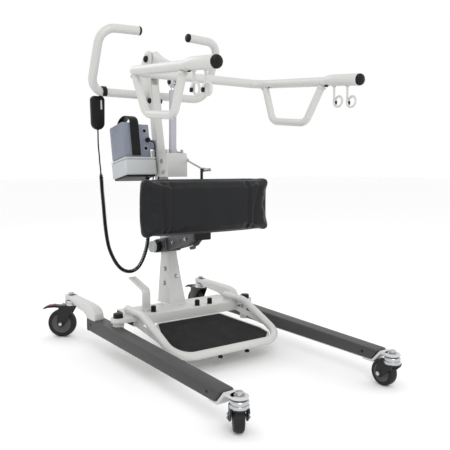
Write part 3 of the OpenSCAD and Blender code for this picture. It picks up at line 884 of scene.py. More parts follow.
# %% Rubber mat
finish_material(
    "rubber_mat", (0.085, 0.095, 0.095), 0.7, 0.16, grain=520, depth=0.25, drift=0.4, dust=0.04,
    shine=0.15,
)
mat = moved(prism(foot_outline(0), 5, 1.8, 3), Matrix.Translation((0, 0, -2)), on_foot)
ribs = []
for i in range(27):
    y = 12 + 7.6 * i
    half = 128 if y < 30 else min(163, 168 - max(0, y - 78) * 0.36)
    ribs.append(moved(block((-half, y, 2.6), (half, y + 3.4, 3.7), 0.5, 1), on_foot))
piece("foot_mat_rubber", [mat] + ribs, "base", "rubber_mat", ["foot_mat"])
rim_line = [Vector((x, y, 1.6)) for x, y in foot_outline(3.2)]
rim_path = [on_foot @ p for p in rim_line + rim_line[:1]]
piece("foot_plate_rim", [swept(rim_path, 4.6, 12, False)], "base", "white_powder_coat")
print("mat has", len(ribs), "ribs")

# %% [markdown]
# ## Boom and arms
# The boom is a folded steel arm on the mast's pivot. It drops to a cross tube, which bends
# forward at each end into an arm. Each arm ends in a thicker sleeve with a domed cap, and a
# bent tube under it is the grip for the user's hand. The two sides differ only in the sign
# of X, so a shape that comes in pairs takes its side as a number, -1 or 1.

# %% The boom and its clevis
CROSS = (-26, 886)
ROD = (134, 893)
boom_shapes = [
    bar((-12.8, *BOOM_PIVOT), (12.8, *BOOM_PIVOT), 46, 2, 48),
    side_plate(
        [
            (280, 966), (278, 1011), (262, 1013), (250, 1009), (212, 987), (-18, 898), (-18, 874),
            (108, 913), (160, 932),
        ],
        0, 25.2, 3.2, 3, 20,
    ),
]
for s in (-1, 1):
    boom_shapes.append(side_plate(
        [(104, 918), (120, 884)] + arc(ROD, 15, 205, 335, 10) + [(168, 936)], s * 10.6, 4, 1
    ))
piece("boom_arm", boom_shapes, "lift_boom", "white_powder_coat", ["boom"])
pin = []
for s in (-1, 1):
    pin.append(lathe(cap_profile(8, 7, 3), (s * 12.7, *ROD), (s, 0, 0)))
pin.append(bar((-13, *ROD), (13, *ROD), 10))
piece("rod_pin", pin, "lift_boom", "black_plastic", ["rod_pivot_pin"])
print("boom reaches", BOOM_PIVOT[0] - CROSS[0], "mm forwards of its pivot")

# %% Arms, sleeves, grips and caps
ARM_X = 241
ARM_SLOPE = math.radians(5.5)
arm_way = Vector((0, -math.cos(ARM_SLOPE), -math.sin(ARM_SLOPE)))


def on_arm(side, along):
    """A place on an arm's middle line, that far from its start."""
    return Vector((side * ARM_X, CROSS[0] - 8, CROSS[1] + 3)) + arm_way * along


arm_side = [(0, CROSS[0] - 3, CROSS[1]), (ARM_X, CROSS[0] - 3, CROSS[1]), tuple(on_arm(1, 326))]
arm = swept(rounded_path(both_sides(arm_side), [0, 45, 45, 0]), 28)
piece("arm_tube", [arm], "lift_boom", "white_powder_coat", ["arm_frame"])


def on_sleeve(side, along):
    """The same on a sleeve, which sits a little high on its arm."""
    return on_arm(side, along) + Vector((0, 0, 3))


sleeve_profile = [(10, 0), (14.4, 0), (16.9, 22), (17, 26), (17, 122.6), (16.4, 124), (10, 124)]
sleeves = [lathe(sleeve_profile, on_sleeve(s, 322), arm_way, 48) for s in (-1, 1)]
piece("arm_sleeve_tubes", sleeves, "lift_boom", "white_powder_coat", ["arm_sleeves"])
dome = [
    (0, -5), (14, -5), (14, 0), (16.5, 0), (16.5, 3), (16, 5.4), (14.6, 7.8), (11.6, 9.6),
    (7, 10.6), (0, 11),
]
piece(
    "arm_caps", [lathe(dome, on_sleeve(s, 446), arm_way, 48) for s in (-1, 1)],
    "lift_boom", "black_plastic", ["arm_end_caps"],
)

for side, name in ((-1, "left"), (1, "right")):
    drop = Vector((0, 0, 11))
    corners = [
        on_arm(side, 30) - drop, (side * (ARM_X - 8), -114, 757), (side * (ARM_X - 8), -270, 742),
        on_arm(side, 300) - drop,
    ]
    grip = [swept(rounded_path(corners, [0, 40, 36, 0]), 23)]
    grip.append(bead(corners[0] - Vector((0, 0, 4)), Vector(corners[1]), 23))
    grip.append(bead(corners[3] - Vector((0, 0, 4)), Vector(corners[2]), 23))
    piece(name + "_grip_tube", grip, "lift_boom", "white_powder_coat", [name + "_grip"])

plugs = []
for s in (-1, 1):
    for along in (58, 322):
        out = Vector((-0.35 * s, 0, -1)).normalized()
        plugs.append(lathe(cap_profile(5.5, 3.4, 1.2), on_arm(s, along) + out * 13.6, out, 24))
piece("arm_plugs", plugs, "lift_boom", "black_plastic")
print("arm sleeve ends at", [round(v) for v in on_sleeve(1, 446)])

# %% [markdown]
# ## Sling hooks
# Each arm carries two pigtail hooks: a steel wire that drops straight from the sleeve and
# turns once into an eye with an open end, so that a sling's loop slips in and can't come
# out by itself. A stem and a ring would be simpler to make, but the ring would be closed.
# So the wire is one line: down, under and up round the eye, and past its stem at one side.

# %% Pigtail hooks
def pigtail(side, along):
    """A hook's wire: straight down from the sleeve, then one turn forwards."""
    top = on_arm(side, along) - Vector((0, 0, 9))
    eye = top + Vector((0, -14, -50))
    line = [top, top - Vector((0, 0, 16)), top - Vector((0, 0, 33))]
    for i in range(31):
        a = math.radians(12 - 352 * i / 30)
        sideways = side * 7 * (i / 30) ** 1.5
        line.append(eye + Vector((sideways, 15 * math.cos(a), 15 * math.sin(a))))
    last = line[-1]
    return smooth_line(line + [last + Vector((side * 0.4, 1, -9))], 2)


wires, tips = [], []
for s in (-1, 1):
    for along in (350, 402):
        line = pigtail(s, along)
        wires.append(swept(line, 6.6, 16))
        foot_ring = [(3, 0), (6.4, 0), (5.4, 2.4), (3.4, 3.4)]
        wires.append(lathe(foot_ring, line[0] - Vector((0, 0, 4.6)), (0, 0, -1), 20))
        way = (line[-1] - line[-3]).normalized()
        tips.append(lathe(
            [(0, -7), (4.1, -7), (4.4, -6), (4.4, 1), (3.6, 3), (1.8, 4), (0, 4.2)], line[-1], way, 20
        ))
piece("hook_wires", wires, "lift_boom", "zinc", ["sling_hooks"], finish="white_powder_coat")
piece("hook_tips", tips, "lift_boom", "black_plastic")
print(len(tips), "hooks")

# %% [markdown]
# ## Actuator
# An electric actuator lifts the boom: a motor housing at the bottom inside a bracket, an
# outer tube, and a polished rod that slides out of it. The rod's eye is on the boom's pin.
# Everything lies on one slanting line, so each shape is placed by how far down that line
# from the rod's eye it starts. The rod is longer than what shows at rest, because the rest
# of it comes out of the tube when the boom rises.

# %% Rod, tube and motor
LOWER = (140, 590)
down = Vector((0, LOWER[0] - ROD[0], LOWER[1] - ROD[1])).normalized()
rod_eye = Vector((0, *ROD))
rod_shapes = [
    bar(rod_eye - Vector((6.9, 0, 0)), rod_eye + Vector((6.9, 0, 0)), 22, 1.2),
    bar(rod_eye + down * 8, rod_eye + down * 226, 14, 0.8),
    lathe([(7, 0), (9.5, 0), (9.5, 7), (7, 8)], rod_eye + down * 11, down),
]
piece("piston_rod", rod_shapes, "actuator_inner", "zinc", ["actuator_rod"])
tube_profile = [
    (7.3, 0), (11.5, 0), (13.1, 1.4), (13.1, 9), (12.5, 10), (12.5, 196), (14.4, 197), (14.4, 216),
    (13.4, 217), (13.4, 226), (7.3, 226),
]
piece(
    "actuator_sleeve", [lathe(tube_profile, rod_eye + down * 27, down)],
    "actuator_outer", "grey_tube", ["actuator_tube"],
)
motor = moved(
    block((-26, -11.5, 259), (26, 11.5, 309), 5, 3), facing(rod_eye, down)
)
seam = moved(block((-26.4, -11.9, 281), (26.4, 11.9, 283), 0.6, 1), facing(rod_eye, down))
collar = lathe([(0, 0), (11.5, 0), (11.5, 6.4), (0, 6.4)], rod_eye + down * 253, down)
piece("motor_housing", [motor, seam, collar], "actuator_outer", "cast_grey", ["actuator_motor"])
print("rod to lower pivot:", round((Vector(LOWER) - Vector(ROD)).length), "mm")

# %% [markdown]
# ## Actuator bracket
# A channel of sheet steel is bolted to the front of the mast. It shields the motor, and
# two hexagon bolts on each side hold the lower pivot and the channel itself. The sheet
# could be one strip that is folded, but flat plates with rounded edges give the same
# corners, and each side can follow the slope of the mast.

# %% The channel and its bolts
BRACKET_Y = 106
plates = [block((-36, BRACKET_Y, 575), (36, BRACKET_Y + 4, 655), 1.4)]
for s in (-1, 1):
    plates.append(side_plate(
        [
            (BRACKET_Y, 575), (BRACKET_Y, 640), (BRACKET_Y + 4, 652), (BRACKET_Y + 14, 656),
            (172, 664), (mast_y(663) - 10, 664), (mast_y(575) - 12, 575),
        ],
        s * 36, 4, 1.2, 2, 20,
    ))
    plates.append(block((s * 25 - 12, mast_y(618) - 15, 600), (s * 25 + 12, mast_y(618) - 10, 636), 1))
    plates.append(side_plate([(120, 655), (120, 667), (134, 668), (138, 656)], s * 30, 3, 0.8))
piece("bracket_channel", plates, "base", "white_powder_coat", ["actuator_bracket"])
SIDE_BOLTS = ((147, 628), (134, 590))
bolts = []
for s in (-1, 1):
    for y, z in SIDE_BOLTS:
        bolts.append(lathe(
            [(0, 0), (8.2, 0), (8.2, 1.6), (6.2, 2.4), (0, 2.4)], (s * 37.9, y, z), (s, 0, 0), 32
        ))
        bolts += hex_bolt((s * 39.6, y, z), (s, 0, 0), 10, 3.6)
bolts += [bar((37, 124, 632), (51, 124, 632), 6)]
bolts += hex_bolt((49.4, 124, 632), (1, 0, 0), 9, 3.6, 12)
piece("bracket_hex_bolts", bolts, "base", "zinc", ["bracket_bolts"])
print("bracket holds", 2 * len(SIDE_BOLTS), "side bolts")

# %% [markdown]
# ## Control box and battery
# A pale plastic box behind the mast's left side holds the electronics. The battery stands
# on it and is lifted off by a black carrying strap. Both lean with the mast. Drawn that
# way, every block would need a turn of its own, so they are drawn upright and one matrix
# tilts them all.

# %% The box, its rim and its side panel
LEAN_ABOUT = Vector((0, 232, 600))
lean = (
    Matrix.Translation(LEAN_ABOUT) @ Matrix.Rotation(-LEAN, 4, "X")
    @ Matrix.Translation(-LEAN_ABOUT)
)


def leaning(shapes):
    """The shapes, tilted with the mast."""
    return [moved(shape, lean) for shape in shapes]


box_shell = [
    block((-162, 168, 572), (-46, 280, 624), 5, 3),
    block((-162, 168, 625.2), (-46, 280, 632), 2.2, 3),
    block((-158, 172, 596), (-50, 276, 628), 1, 1),
]
piece("control_box_shell", leaning(box_shell), "base", "box_grey", ["control_box"])
tray = [block((-157, 173, 565.5), (-51, 275, 573), 2, 2)]
tray += [block((-150 + 14 * i, 180, 564.6), (-145 + 14 * i, 268, 566), 0.5, 1) for i in range(7)]
piece("control_box_tray", leaning(tray), "base", "black_plastic")
side_panel = [
    block((-162.7, 180, 580), (-161.6, 268, 618), 0.4, 1),
    block((-163.2, 190, 608), (-162.4, 246, 609.6), 0.2, 1),
]
piece("box_side_panel", leaning(side_panel), "base", "box_grey", finish="button_grey")
screw_head = [(0, 0), (2.6, 0), (2.6, 0.5), (1.8, 1), (0, 1)]
screws = []
for y, z in ((175, 577), (273, 577), (175, 619), (273, 619)):
    screws.append(lathe(screw_head, (-161.8, y, z), (-1, 0, 0), 20))
piece("box_screws", leaning(screws), "base", "zinc")
print("box leans with the mast by", round(math.degrees(LEAN)), "degrees")

# %% Battery and its carrying strap
battery = [
    block((-160, 176, 633.2), (-93, 276, 752), 6, 3),
    block((-160.8, 187, 643), (-159.4, 266, 743), 0.8, 2),
    block((-156, 174.9, 640), (-136, 176.6, 745), 0.8, 2),
    block((-153, 187, 751), (-99, 263, 753.4), 1.2, 2),
]
battery += [block((-161.4, 198 + 9 * i, 655), (-160.2, 201 + 9 * i, 731), 0.5, 1) for i in range(7)]
piece("battery_case", leaning(battery), "battery_pack", "battery_grey", ["battery"])


def band(line, thickness):
    """The outline of a strip that follows a line in Y and Z."""
    there, back = [], []
    for before, place, after in zip([line[0]] + line, line, line[1:] + [line[-1]]):
        way = (after - before).normalized()
        across = Vector((0, -way.z, way.y)) * thickness / 2
        there.append((place.y + across.y, place.z + across.z))
        back.append((place.y - across.y, place.z - across.z))
    return there + back[::-1]


strap_line = smooth_line(
    [(0, 173.4, 638), (0, 172.6, 700), (0, 172, 748), (0, 180, 766), (0, 202, 778), (0, 228, 781),
     (0, 252, 776), (0, 269, 765), (0, 277.4, 750), (0, 278, 728)], 4,
)
strap = side_plate(band(strap_line, 3.2), -115, 32, 0.9, 2, 60)
stitches = []
for z in (650, 690):
    stitches.append(block((-127, 170.6, z), (-103, 172, z + 1.2), 0.3, 1))
piece(
    "battery_carry_strap", leaning([strap] + stitches), "battery_pack",
    "black_plastic", ["battery_strap"],
)
print("strap is", round(line_length(strap_line)), "mm long")

# %% Back plate, sockets and plugs
mount = [
    block((-92, 200, 632.5), (-46, 216, 752), 2.5, 3),
    block((-60, 214, 672), (-15.6, 240, 702), 2),
]
piece(
    "box_mounting_plate", leaning(mount), "base", "box_grey", ["box_back_plate"],
    finish="battery_grey",
)
SOCKETS_Z = (729, 668)
ring = [(6.4, -1), (6.4, 0.4), (7.2, 1.4), (8.6, 1.4), (9.2, 0.6), (9.2, -1), (6.4, -1)]
sockets = [lathe(ring, (-64, 200, z), (0, -1, 0), 36) for z in SOCKETS_Z]
piece("plate_socket_rings", leaning(sockets), "base", "box_grey", finish="grey_tube")
well = [(0, 0), (6.3, 0), (6.3, 0.4), (2.2, 0.4), (1.8, 2.2), (0, 2.6)]
wells = [lathe(well, (-64, 200, z), (0, -1, 0), 24) for z in SOCKETS_Z]
piece("plate_socket_wells", leaning(wells), "base", "black_plastic")

plug_body = [
    (0, -1), (8, -1), (8, 4), (7.2, 4.6), (7.2, 5.6), (8, 6.2), (8, 10), (6.4, 12), (3.2, 12.6),
    (0, 12.6),
]
side_plug = [(0, -0.8), (7.6, -0.8), (7.6, 0.8), (6.6, 1.6), (0, 1.6)]
gland = [(0, 0), (4.6, 0), (5.6, 3), (7.4, 5), (7.4, 7), (9.4, 7.6), (9.4, 15), (0, 15)]
plugs = [
    lathe(plug_body, (-56, 200, 697), (0, -1, 0), 32),
    lathe(side_plug, (-46, 194, 590), (1, 0, 0), 32),
    lathe(side_plug, (-46, 198, 614), (1, 0, 0), 32),
    lathe(gland, (-66, 206, 556), (0, 0, 1), 32),
]
piece("lead_plugs", leaning(plugs), "base", "black_plastic", ["box_plugs"])
print("plugs and glands:", len(plugs))

# %% [markdown]
# ## Hand pendant
# The carer's pendant is a black handset with a rounded foot, hung on the push handle by a
# hook. Its two keys, up and down, face the carer, and a pale strip marks its back. The
# handset could be carved from a box, but an outline of arcs, made thick and rounded all
# round, has a moulded shell's soft edges at once. The hook is a band that follows the
# handle's own circle.

# %% Handset, hook and keys
handset_outline = arc((-194, 760), 23.5, 180, 360, 18)
handset_outline += arc((-183, 838), 14, 0, 90, 8) + arc((-205, 838), 14, 90, 180, 8)
stand_up = Matrix(((1, 0, 0, 0), (0, 0, -1, 330), (0, 1, 0, 0), (0, 0, 0, 1)))
handset = moved(prism(handset_outline, 22, 6.5, 4, 40), stand_up)
neck = lathe([(0, 0), (3.6, 0), (5.2, 4), (6.6, 12), (0, 12)], (-194, 319, 735.5), (0, 0, 1), 24)
hook_path = [Vector((0, 311, 846)), Vector((0, 311.5, 858))]
hook_path += [Vector((0, y, z)) for y, z in arc((HANDLE_Y, HANDLE_Z), 18.4, 0, 228, 22)]
hook = side_plate(band(hook_path, 4.2), -183, 15, 1.2, 2, 60)
piece("pendant_handset", [handset, neck, hook], "base", "black_plastic", ["pendant_shell"])
strip = block((-187, 306.7, 806), (-181, 309, 838), 1.2, 2)
panel_outline = softened_outline([(-213, 752), (-213, 838), (-175, 838), (-175, 752)], 6)
seal = moved(prism(panel_outline, 1.2, 0.5), stand_up, Matrix.Translation((0, 0.4, 0)))
piece("pendant_light_strip", [strip], "base", "button_grey")
piece("pendant_key_panel", [seal], "base", "button_grey", finish="cast_grey")
for name, low, up in (("up", 799, 1), ("down", 757, -1)):
    key = block((-210, 325, low), (-178, 331.5, low + 34), 2.4, 3)
    mid = Vector((-194, 331.2, low + 17))
    on_key = Matrix(((1, 0, 0, mid.x), (0, 0, -1, mid.y + 0.7), (0, 1, 0, mid.z), (0, 0, 0, 1)))
    arrow = moved(prism([(-7, -5 * up), (7, -5 * up), (0, 7 * up)][::up], 0.9, 0.3, 1), on_key)
    piece(
        "pendant_" + name + "_key", [key], name + "_button", "button_grey",
        ["pendant_" + name + "_button"],
    )
    piece("pendant_" + name + "_arrow", [arrow], name + "_button", "black_plastic")
print("pendant hangs at", HANDLE_Z, "mm")

# %% [markdown]
# ## Legs
# Each leg is a steel tube under a dark moulded cover with a black cap at its back end.
# Behind it, a cranked bar rises over the rear caster, and in front a folded bracket
# carries the front caster. They change in height along the leg but not in width, so each
# is an outline seen from the side, made as thick as the real one is wide. The left leg is
# the right one mirrored.

# %% Covers, cranked bars and brackets
LEG_X, LEG_W = 267, 44
COVER_FRONT, COVER_BACK = -558, 219
REAR_STEM = (276, 395)
FRONT_STEM = (262, -600)


def leg_shapes():
    """The right leg's steel, its cover, and its black cap and screws."""
    cover = side_plate(
        [(COVER_FRONT + 22, 66), (COVER_BACK, 65), (COVER_BACK, 111), (0, 107.5),
         (COVER_FRONT + 5, 97.5), (COVER_FRONT, 93)],
        LEG_X, LEG_W, 6, 4, 30,
    )
    crank_outline = [
        (152, 106), (154, 130), (166, 143), (190, 150), (230, 152.5), (340, 153), (395, 153),
        (395, 138), (368, 137), (334, 129), (300, 124), (250, 121), (226, 114), (214, 104),
    ]
    crank = side_plate(crank_outline, REAR_STEM[0] - 2, 36, 6, 4, 50)
    bracket_outline = [
        (-505, 58.5), (-540, 58.5), (-570, 89.5), (-602, 91), (-602, 97), (-566, 97), (-538, 66),
        (-505, 66),
    ]
    bracket = side_plate(bracket_outline, LEG_X - 1, 34.6, 1.4, 2, 20)
    front_seat = [(0, 0), (21, 0), (22, 1.2), (22, 5), (21, 6), (0, 6)]
    rear_seat = [(0, 0), (21, 0), (22, 1.2), (22, 13.8), (20.8, 15), (0, 15)]
    steel = [
        crank, bracket,
        lathe(front_seat, (*FRONT_STEM, 91), (0, 0, 1)),
        lathe(rear_seat, (*REAR_STEM, 138), (0, 0, 1)),
        block((LEG_X - 16, -512, 61), (LEG_X + 16, 214, 92), 3),
        lathe([(0, 0), (18, 0), (18, 56.4), (0, 56.4)], (*PIVOT, 63), (0, 0, 1)),
    ]
    cap_outline = [(208, 63.6), (221.6, 63.6), (221.6, 112), (208, 112)]
    ends = [side_plate(cap_outline, LEG_X, LEG_W + 1, 3.4, 3)]
    cover_screw = [(0, 0), (4.6, 0), (4.4, 1), (2.2, 1.5), (1.8, 0.7), (0, 0.7)]
    for y, z in ((188, 88), (-506, 82)):
        for s in (-1, 1):
            ends.append(lathe(cover_screw, (LEG_X + s * 21.6, y, z), (s, 0, 0), 24))
    return steel, [cover], ends


print("a leg is", COVER_BACK - COVER_FRONT, "mm under its cover")

# %% Both legs
for side, name in ((1, "right"), (-1, "left")):
    steel, cover, ends = leg_shapes()
    for label, shapes, slot, stands in (
        ("leg_steel", steel, "white_powder_coat", [name + "_leg_frame"]),
        ("leg_shell", cover, "dark_leg_cover", [name + "_leg_cover"]),
        ("leg_ends", ends, "black_plastic", []),
    ):
        if side < 0:
            for shape in shapes:
                bmesh.ops.scale(shape, vec=(-1, 1, 1), verts=shape.verts)
                bmesh.ops.reverse_faces(shape, faces=shape.faces)
        piece(name + "_" + label, shapes, name + "_leg", slot, stands)
    nuts = hex_bolt((side * FRONT_STEM[0], FRONT_STEM[1], 97), (0, 0, 1), 17, 8, 26)
    nuts += hex_bolt((side * REAR_STEM[0], REAR_STEM[1], 153), (0, 0, 1), 17, 7, 24)
    piece(name + "_stem_nuts", nuts, name + "_leg", "zinc")
print("legs spread about", PIVOT)

# %% [markdown]
# ## Casters
# A caster is a plated swivel housing, a black fork and a wheel with a grey hub and a
# rubber tread. The front pair and the rear pair differ in size, and the two on the left
# have swivelled, so copies of one object wouldn't do. All four are one function of the
# wheel's size, the trail and the height of the stem. It draws a caster about the swivel's
# axis and then turns it to where the caster points.

# %% The caster function
def caster(name, place, turn, wheel_d, trail, top):
    """A caster's housing and fork on its own body, its wheel on another."""
    turned = Matrix.Rotation(math.radians(turn), 4, "Z")
    to_place = Matrix.Translation((place[0], place[1], 0)) @ turned
    axle = wheel_d / 2
    body, roller = name + "_caster", name + "_roller"
    crown = top - 24

    housing = lathe(
        [(0, 0), (19, 0), (22.5, 2), (23, 4), (23, 8), (21.6, 9.6), (19.6, 10), (19.6, 12.4),
         (21.8, 13.2), (22.2, 15), (22.2, 18), (20.8, 20), (15, 21.6), (15, 23.4), (0, 23.4)],
        (0, 0, crown), (0, 0, 1), 48,
    )
    piece(name + "_swivel_housing", [moved(housing, to_place)], body, "zinc", finish="zinc")

    crown_outline = arc((0, 0), 22, 180, 360, 18)
    crown_outline += [(23, trail - 4), (20, trail + 4), (-20, trail + 4), (-23, trail - 4)]
    fork = [moved(prism(crown_outline, 6, 2, 3), Matrix.Translation((0, 0, crown - 3)))]
    axle_boss = [(0, 0), (9.5, 0), (9.5, 1.4), (8, 2.4), (0, 2.4)]
    for s in (-1, 1):
        cheek = [(-16, crown + 1), (-13, crown - 9)]
        cheek += arc((trail, axle), 12.5, 205, 345, 12)
        cheek += [(trail + 14, axle + 12), (trail + 6, crown - 2), (trail + 4, crown + 1)]
        fork.append(side_plate(cheek, s * 20.4, 5.6, 1.8, 3, 40))
        fork.append(lathe(axle_boss, (s * 22.8, trail, axle), (s, 0, 0)))
    piece(
        name + "_fork_shell", [moved(s, to_place) for s in fork], body, "black_fork",
        [name + "_fork"],
    )
    axle_bolts = [bar((-24, trail, axle), (24, trail, axle), 8)]
    for s in (-1, 1):
        axle_bolts += hex_bolt((s * 24.8, trail, axle), (s, 0, 0), 11, 3.6)
    piece(name + "_axle_bolt", [moved(s, to_place) for s in axle_bolts], body, "zinc")

    r, w = axle, 13.5
    tread = [
        (r * 0.66, -w + 1), (r * 0.82, -w), (r - 4.5, -w + 0.6), (r - 1.6, -w + 2.6),
        (r - 0.3, -w + 6), (r, 0), (r - 0.3, w - 6), (r - 1.6, w - 2.6), (r - 4.5, w - 0.6),
        (r * 0.82, w), (r * 0.66, w - 1), (r * 0.66, -w + 1),
    ]
    tyre = lathe(tread, (0, trail, axle), (1, 0, 0), 64)
    piece(name + "_tyre", [moved(tyre, to_place)], roller, "tyre", [name + "_wheel"])
    hub = [
        (4.1, -15.8), (10, -15.8), (10.6, -14), (11.5, -11.4), (r * 0.56, -10.4), (r * 0.6, -12.4),
        (r * 0.68, -12.8), (r * 0.68, 12.8), (r * 0.6, 12.4), (r * 0.56, 10.4), (11.5, 11.4), (10.6, 14),
        (10, 15.8), (4.1, 15.8), (4.1, -15.8),
    ]
    hub_shapes = [lathe(hub, (0, trail, axle), (1, 0, 0), 48)]
    rivet = [(0, 0), (2.6, 0), (2.4, 1.2), (0, 1.5)]
    rivet_ring = 0.36 * 1.12 * r
    for i in range(5):
        a = math.tau * i / 5
        y, z = trail + rivet_ring * math.cos(a), axle + rivet_ring * math.sin(a)
        for s in (-1, 1):
            hub_shapes.append(lathe(rivet, (s * 10.4, y, z), (s, 0, 0), 12))
    piece(
        name + "_hub", [moved(s, to_place) for s in hub_shapes], roller, "tyre",
        finish="wheel_hub",
    )
    return to_place


FRONT = (75, 27, 91)
REAR = (100, 34, 138)
print("casters: front", FRONT[0], "mm, rear", REAR[0], "mm")

# %% Four casters and two brakes
FRONT_LEFT_TURN, REAR_LEFT_TURN = -32, 52
PEDAL_OUTLINE = [
    (37.5, 108), (40, 113), (62, 114.6), (84, 111), (101, 103), (100, 100), (82, 105.5),
    (60, 107.4), (41, 106),
]
RED_OUTLINE = [(58, 114), (60, 116.6), (84, 113.4), (97, 106.8), (97, 104.8), (84, 110.6)]
caster("front_right", FRONT_STEM, 0, *FRONT)
caster("front_left", (-FRONT_STEM[0], FRONT_STEM[1]), FRONT_LEFT_TURN, *FRONT)
for name, side, turn in (("right", 1, 0), ("left", -1, REAR_LEFT_TURN)):
    at_rear = caster("rear_" + name, (side * REAR_STEM[0], REAR_STEM[1]), turn, *REAR)
    pedal = side_plate(PEDAL_OUTLINE, 0, 30, 1.2, 2, 40)
    red = side_plate(RED_OUTLINE, 0, 24, 0.9, 2, 40)
    piece(
        name + "_brake_lever", [moved(pedal, at_rear)], name + "_brake", "black_plastic",
        [name + "_brake_pedal"],
    )
    piece(name + "_brake_tab", [moved(red, at_rear)], name + "_brake", "red_pedal")

# %% [markdown]
# ## Spreader lever
# A flat steel bar rises from the beam and is cranked back to the carer. Turning it about
# its foot spreads the legs. Two boxes would meet in a sharp corner at the bend, so the bar
# is one band of even thickness along a bent line.

# %% The lever
LEVER = (-131, 95)
LEVER_TOP = 229
lever_line = rounded_path(
    [(0, LEVER[1], 137), (0, LEVER[1], 202), (0, LEVER[1] + 103, LEVER_TOP)], [0, 14, 0]
)
lever_bar = side_plate(band(lever_line, 7), LEVER[0], 28, 1.6, 3, 50)
foot_ring = lathe([(0, 0), (15, 0), (15, 4), (13.4, 6), (0, 6)], (*LEVER, BEAM_TOP + 0.4), (0, 0, 1))
piece("lever_bar", [lever_bar, foot_ring], "lever", "white_powder_coat", ["spreader_lever"])
print("lever reaches", LEVER_TOP, "mm up")

# %% [markdown]
# ## Knee support
# A cast bracket slides on the mast and is held by a big knob at its left. Its arm carries
# a board, and on the board is the knee pad. A stud on top of the board is tied back to the
# actuator's bracket by a stay rod with a wing screw. The arm could be one solid, but two
# cheeks with a web between them look like the casting that it is. The knob's grip is a
# circle whose radius rises and falls eight times, which makes its finger lobes.

# %% Carriage, knob and board
tilt = Matrix.Translation((0, *BEND)) @ Matrix.Rotation(-LEAN, 4, "X")
CARRIAGE_LOW, CARRIAGE_HIGH = 12, 60
collar_walls = [
    block((-30, -36, CARRIAGE_LOW), (30, -25, CARRIAGE_HIGH), 4, 3),
    block((-30, 25, CARRIAGE_LOW), (30, 36, CARRIAGE_HIGH), 4, 3),
    block((-30, -36, CARRIAGE_LOW), (-20.6, 36, CARRIAGE_HIGH), 3, 3),
    block((20.6, -36, CARRIAGE_LOW), (30, 36, CARRIAGE_HIGH), 3, 3),
]
for rib in (20, 48):
    collar_walls.append(block((-31.5, -37.5, rib), (-21, 37.5, rib + 5), 1.6))
    collar_walls.append(block((21, -37.5, rib), (31.5, 37.5, rib + 5), 1.6))
arm_outline = [
    (142, 320), (149, 364), (108, 381), (40, 398), (-34, 402), (-34, 376), (-10, 366), (8, 350),
    (24, 344), (40, 346),
]
carriage = [moved(w, tilt) for w in collar_walls]
for x in (-18, 18):
    carriage.append(side_plate(arm_outline, x, 8, 2.4, 3, 20))
web = [(142, 330), (147, 356), (100, 374), (38, 390), (-30, 394), (-30, 384), (2, 366), (26, 354)]
carriage.append(side_plate(web, 0, 30, 1.5, 2, 20))
for y, z in ((20, 372), (62, 364), (104, 352)):
    carriage.append(bar((-23.6, y, z), (23.6, y, z), 15, 1.5))
carriage.append(lathe([(0, 0), (11, 0), (11, 5), (9, 8), (0, 8)], (0, 14, 346), (0, -0.4, -1)))
piece("knee_arm_casting", carriage, "knee_support", "cast_grey", ["knee_carriage"])
arm_bolts = []
for s in (-1, 1):
    for y, z in ((20, 372), (104, 352)):
        arm_bolts += hex_bolt((s * 23.4, y, z), (s, 0, 0), 9, 4, 13)
piece("knee_arm_bolts", arm_bolts, "knee_support", "zinc")

lobes = []
for i in range(96):
    a = math.tau * i / 96
    r = 20.2 + 1.9 * math.cos(8 * a)
    lobes.append((r * math.cos(a), r * math.sin(a)))
KNOB = Vector((-31, 186, 332))
knob = [
    moved(prism(lobes, 19, 2.6, 3, 50), facing(KNOB - Vector((1.2, 0, 0)), (-1, 0, 0))),
    bar(KNOB + Vector((1, 0, 0)), KNOB + Vector((9, 0, 0)), 10),
]
piece("height_knob_grip", knob, "height_knob", "black_plastic", ["carriage_knob"])
knob_face = [(0, 0), (19.8, 0), (20, 2), (20, 11), (18.4, 13.6), (14, 14.6), (0, 14.6)]
knob_cap = lathe(knob_face, KNOB - Vector((19.6, 0, 0)), (-1, 0, 0))
piece("height_knob_cap", [knob_cap], "height_knob", "box_grey")

board_stud = [(0, 0), (8, 0), (8, 3), (4.5, 4), (4.5, 41), (3.4, 43.4), (0, 44)]
board = [
    block((-192, -60.5, 410), (192, -52.5, 550), 3.4, 3),
    block((-30, -53, 374), (30, -34, 562), 4, 3),
    lathe(board_stud, (0, -43, 560), (0, 0, 1)),
]
for x in (-150, -90, 90, 150):
    board.append(block((x - 3, -53.5, 418), (x + 3, -48, 542), 1.6))
piece(
    "knee_board_shell", board, "knee_support", "cast_grey", ["knee_backboard"],
    finish="black_plastic",
)
print("carriage is", CARRIAGE_HIGH - CARRIAGE_LOW, "mm tall on the mast")

# %% Stay rod and wing screw
STAY_BACK = Vector((46, 124, 632))
STAY_FRONT = Vector((9, -43, 599))


def eye(place, outer, hole, width):
    """A rod's flat eye about X."""
    r, bore, half = outer / 2, hole / 2, width / 2
    profile = [
        (bore, -half), (r - 0.8, -half), (r, -half + 0.8), (r, half - 0.8), (r - 0.8, half),
        (bore, half), (bore, -half),
    ]
    return lathe(profile, place, (1, 0, 0), 32)


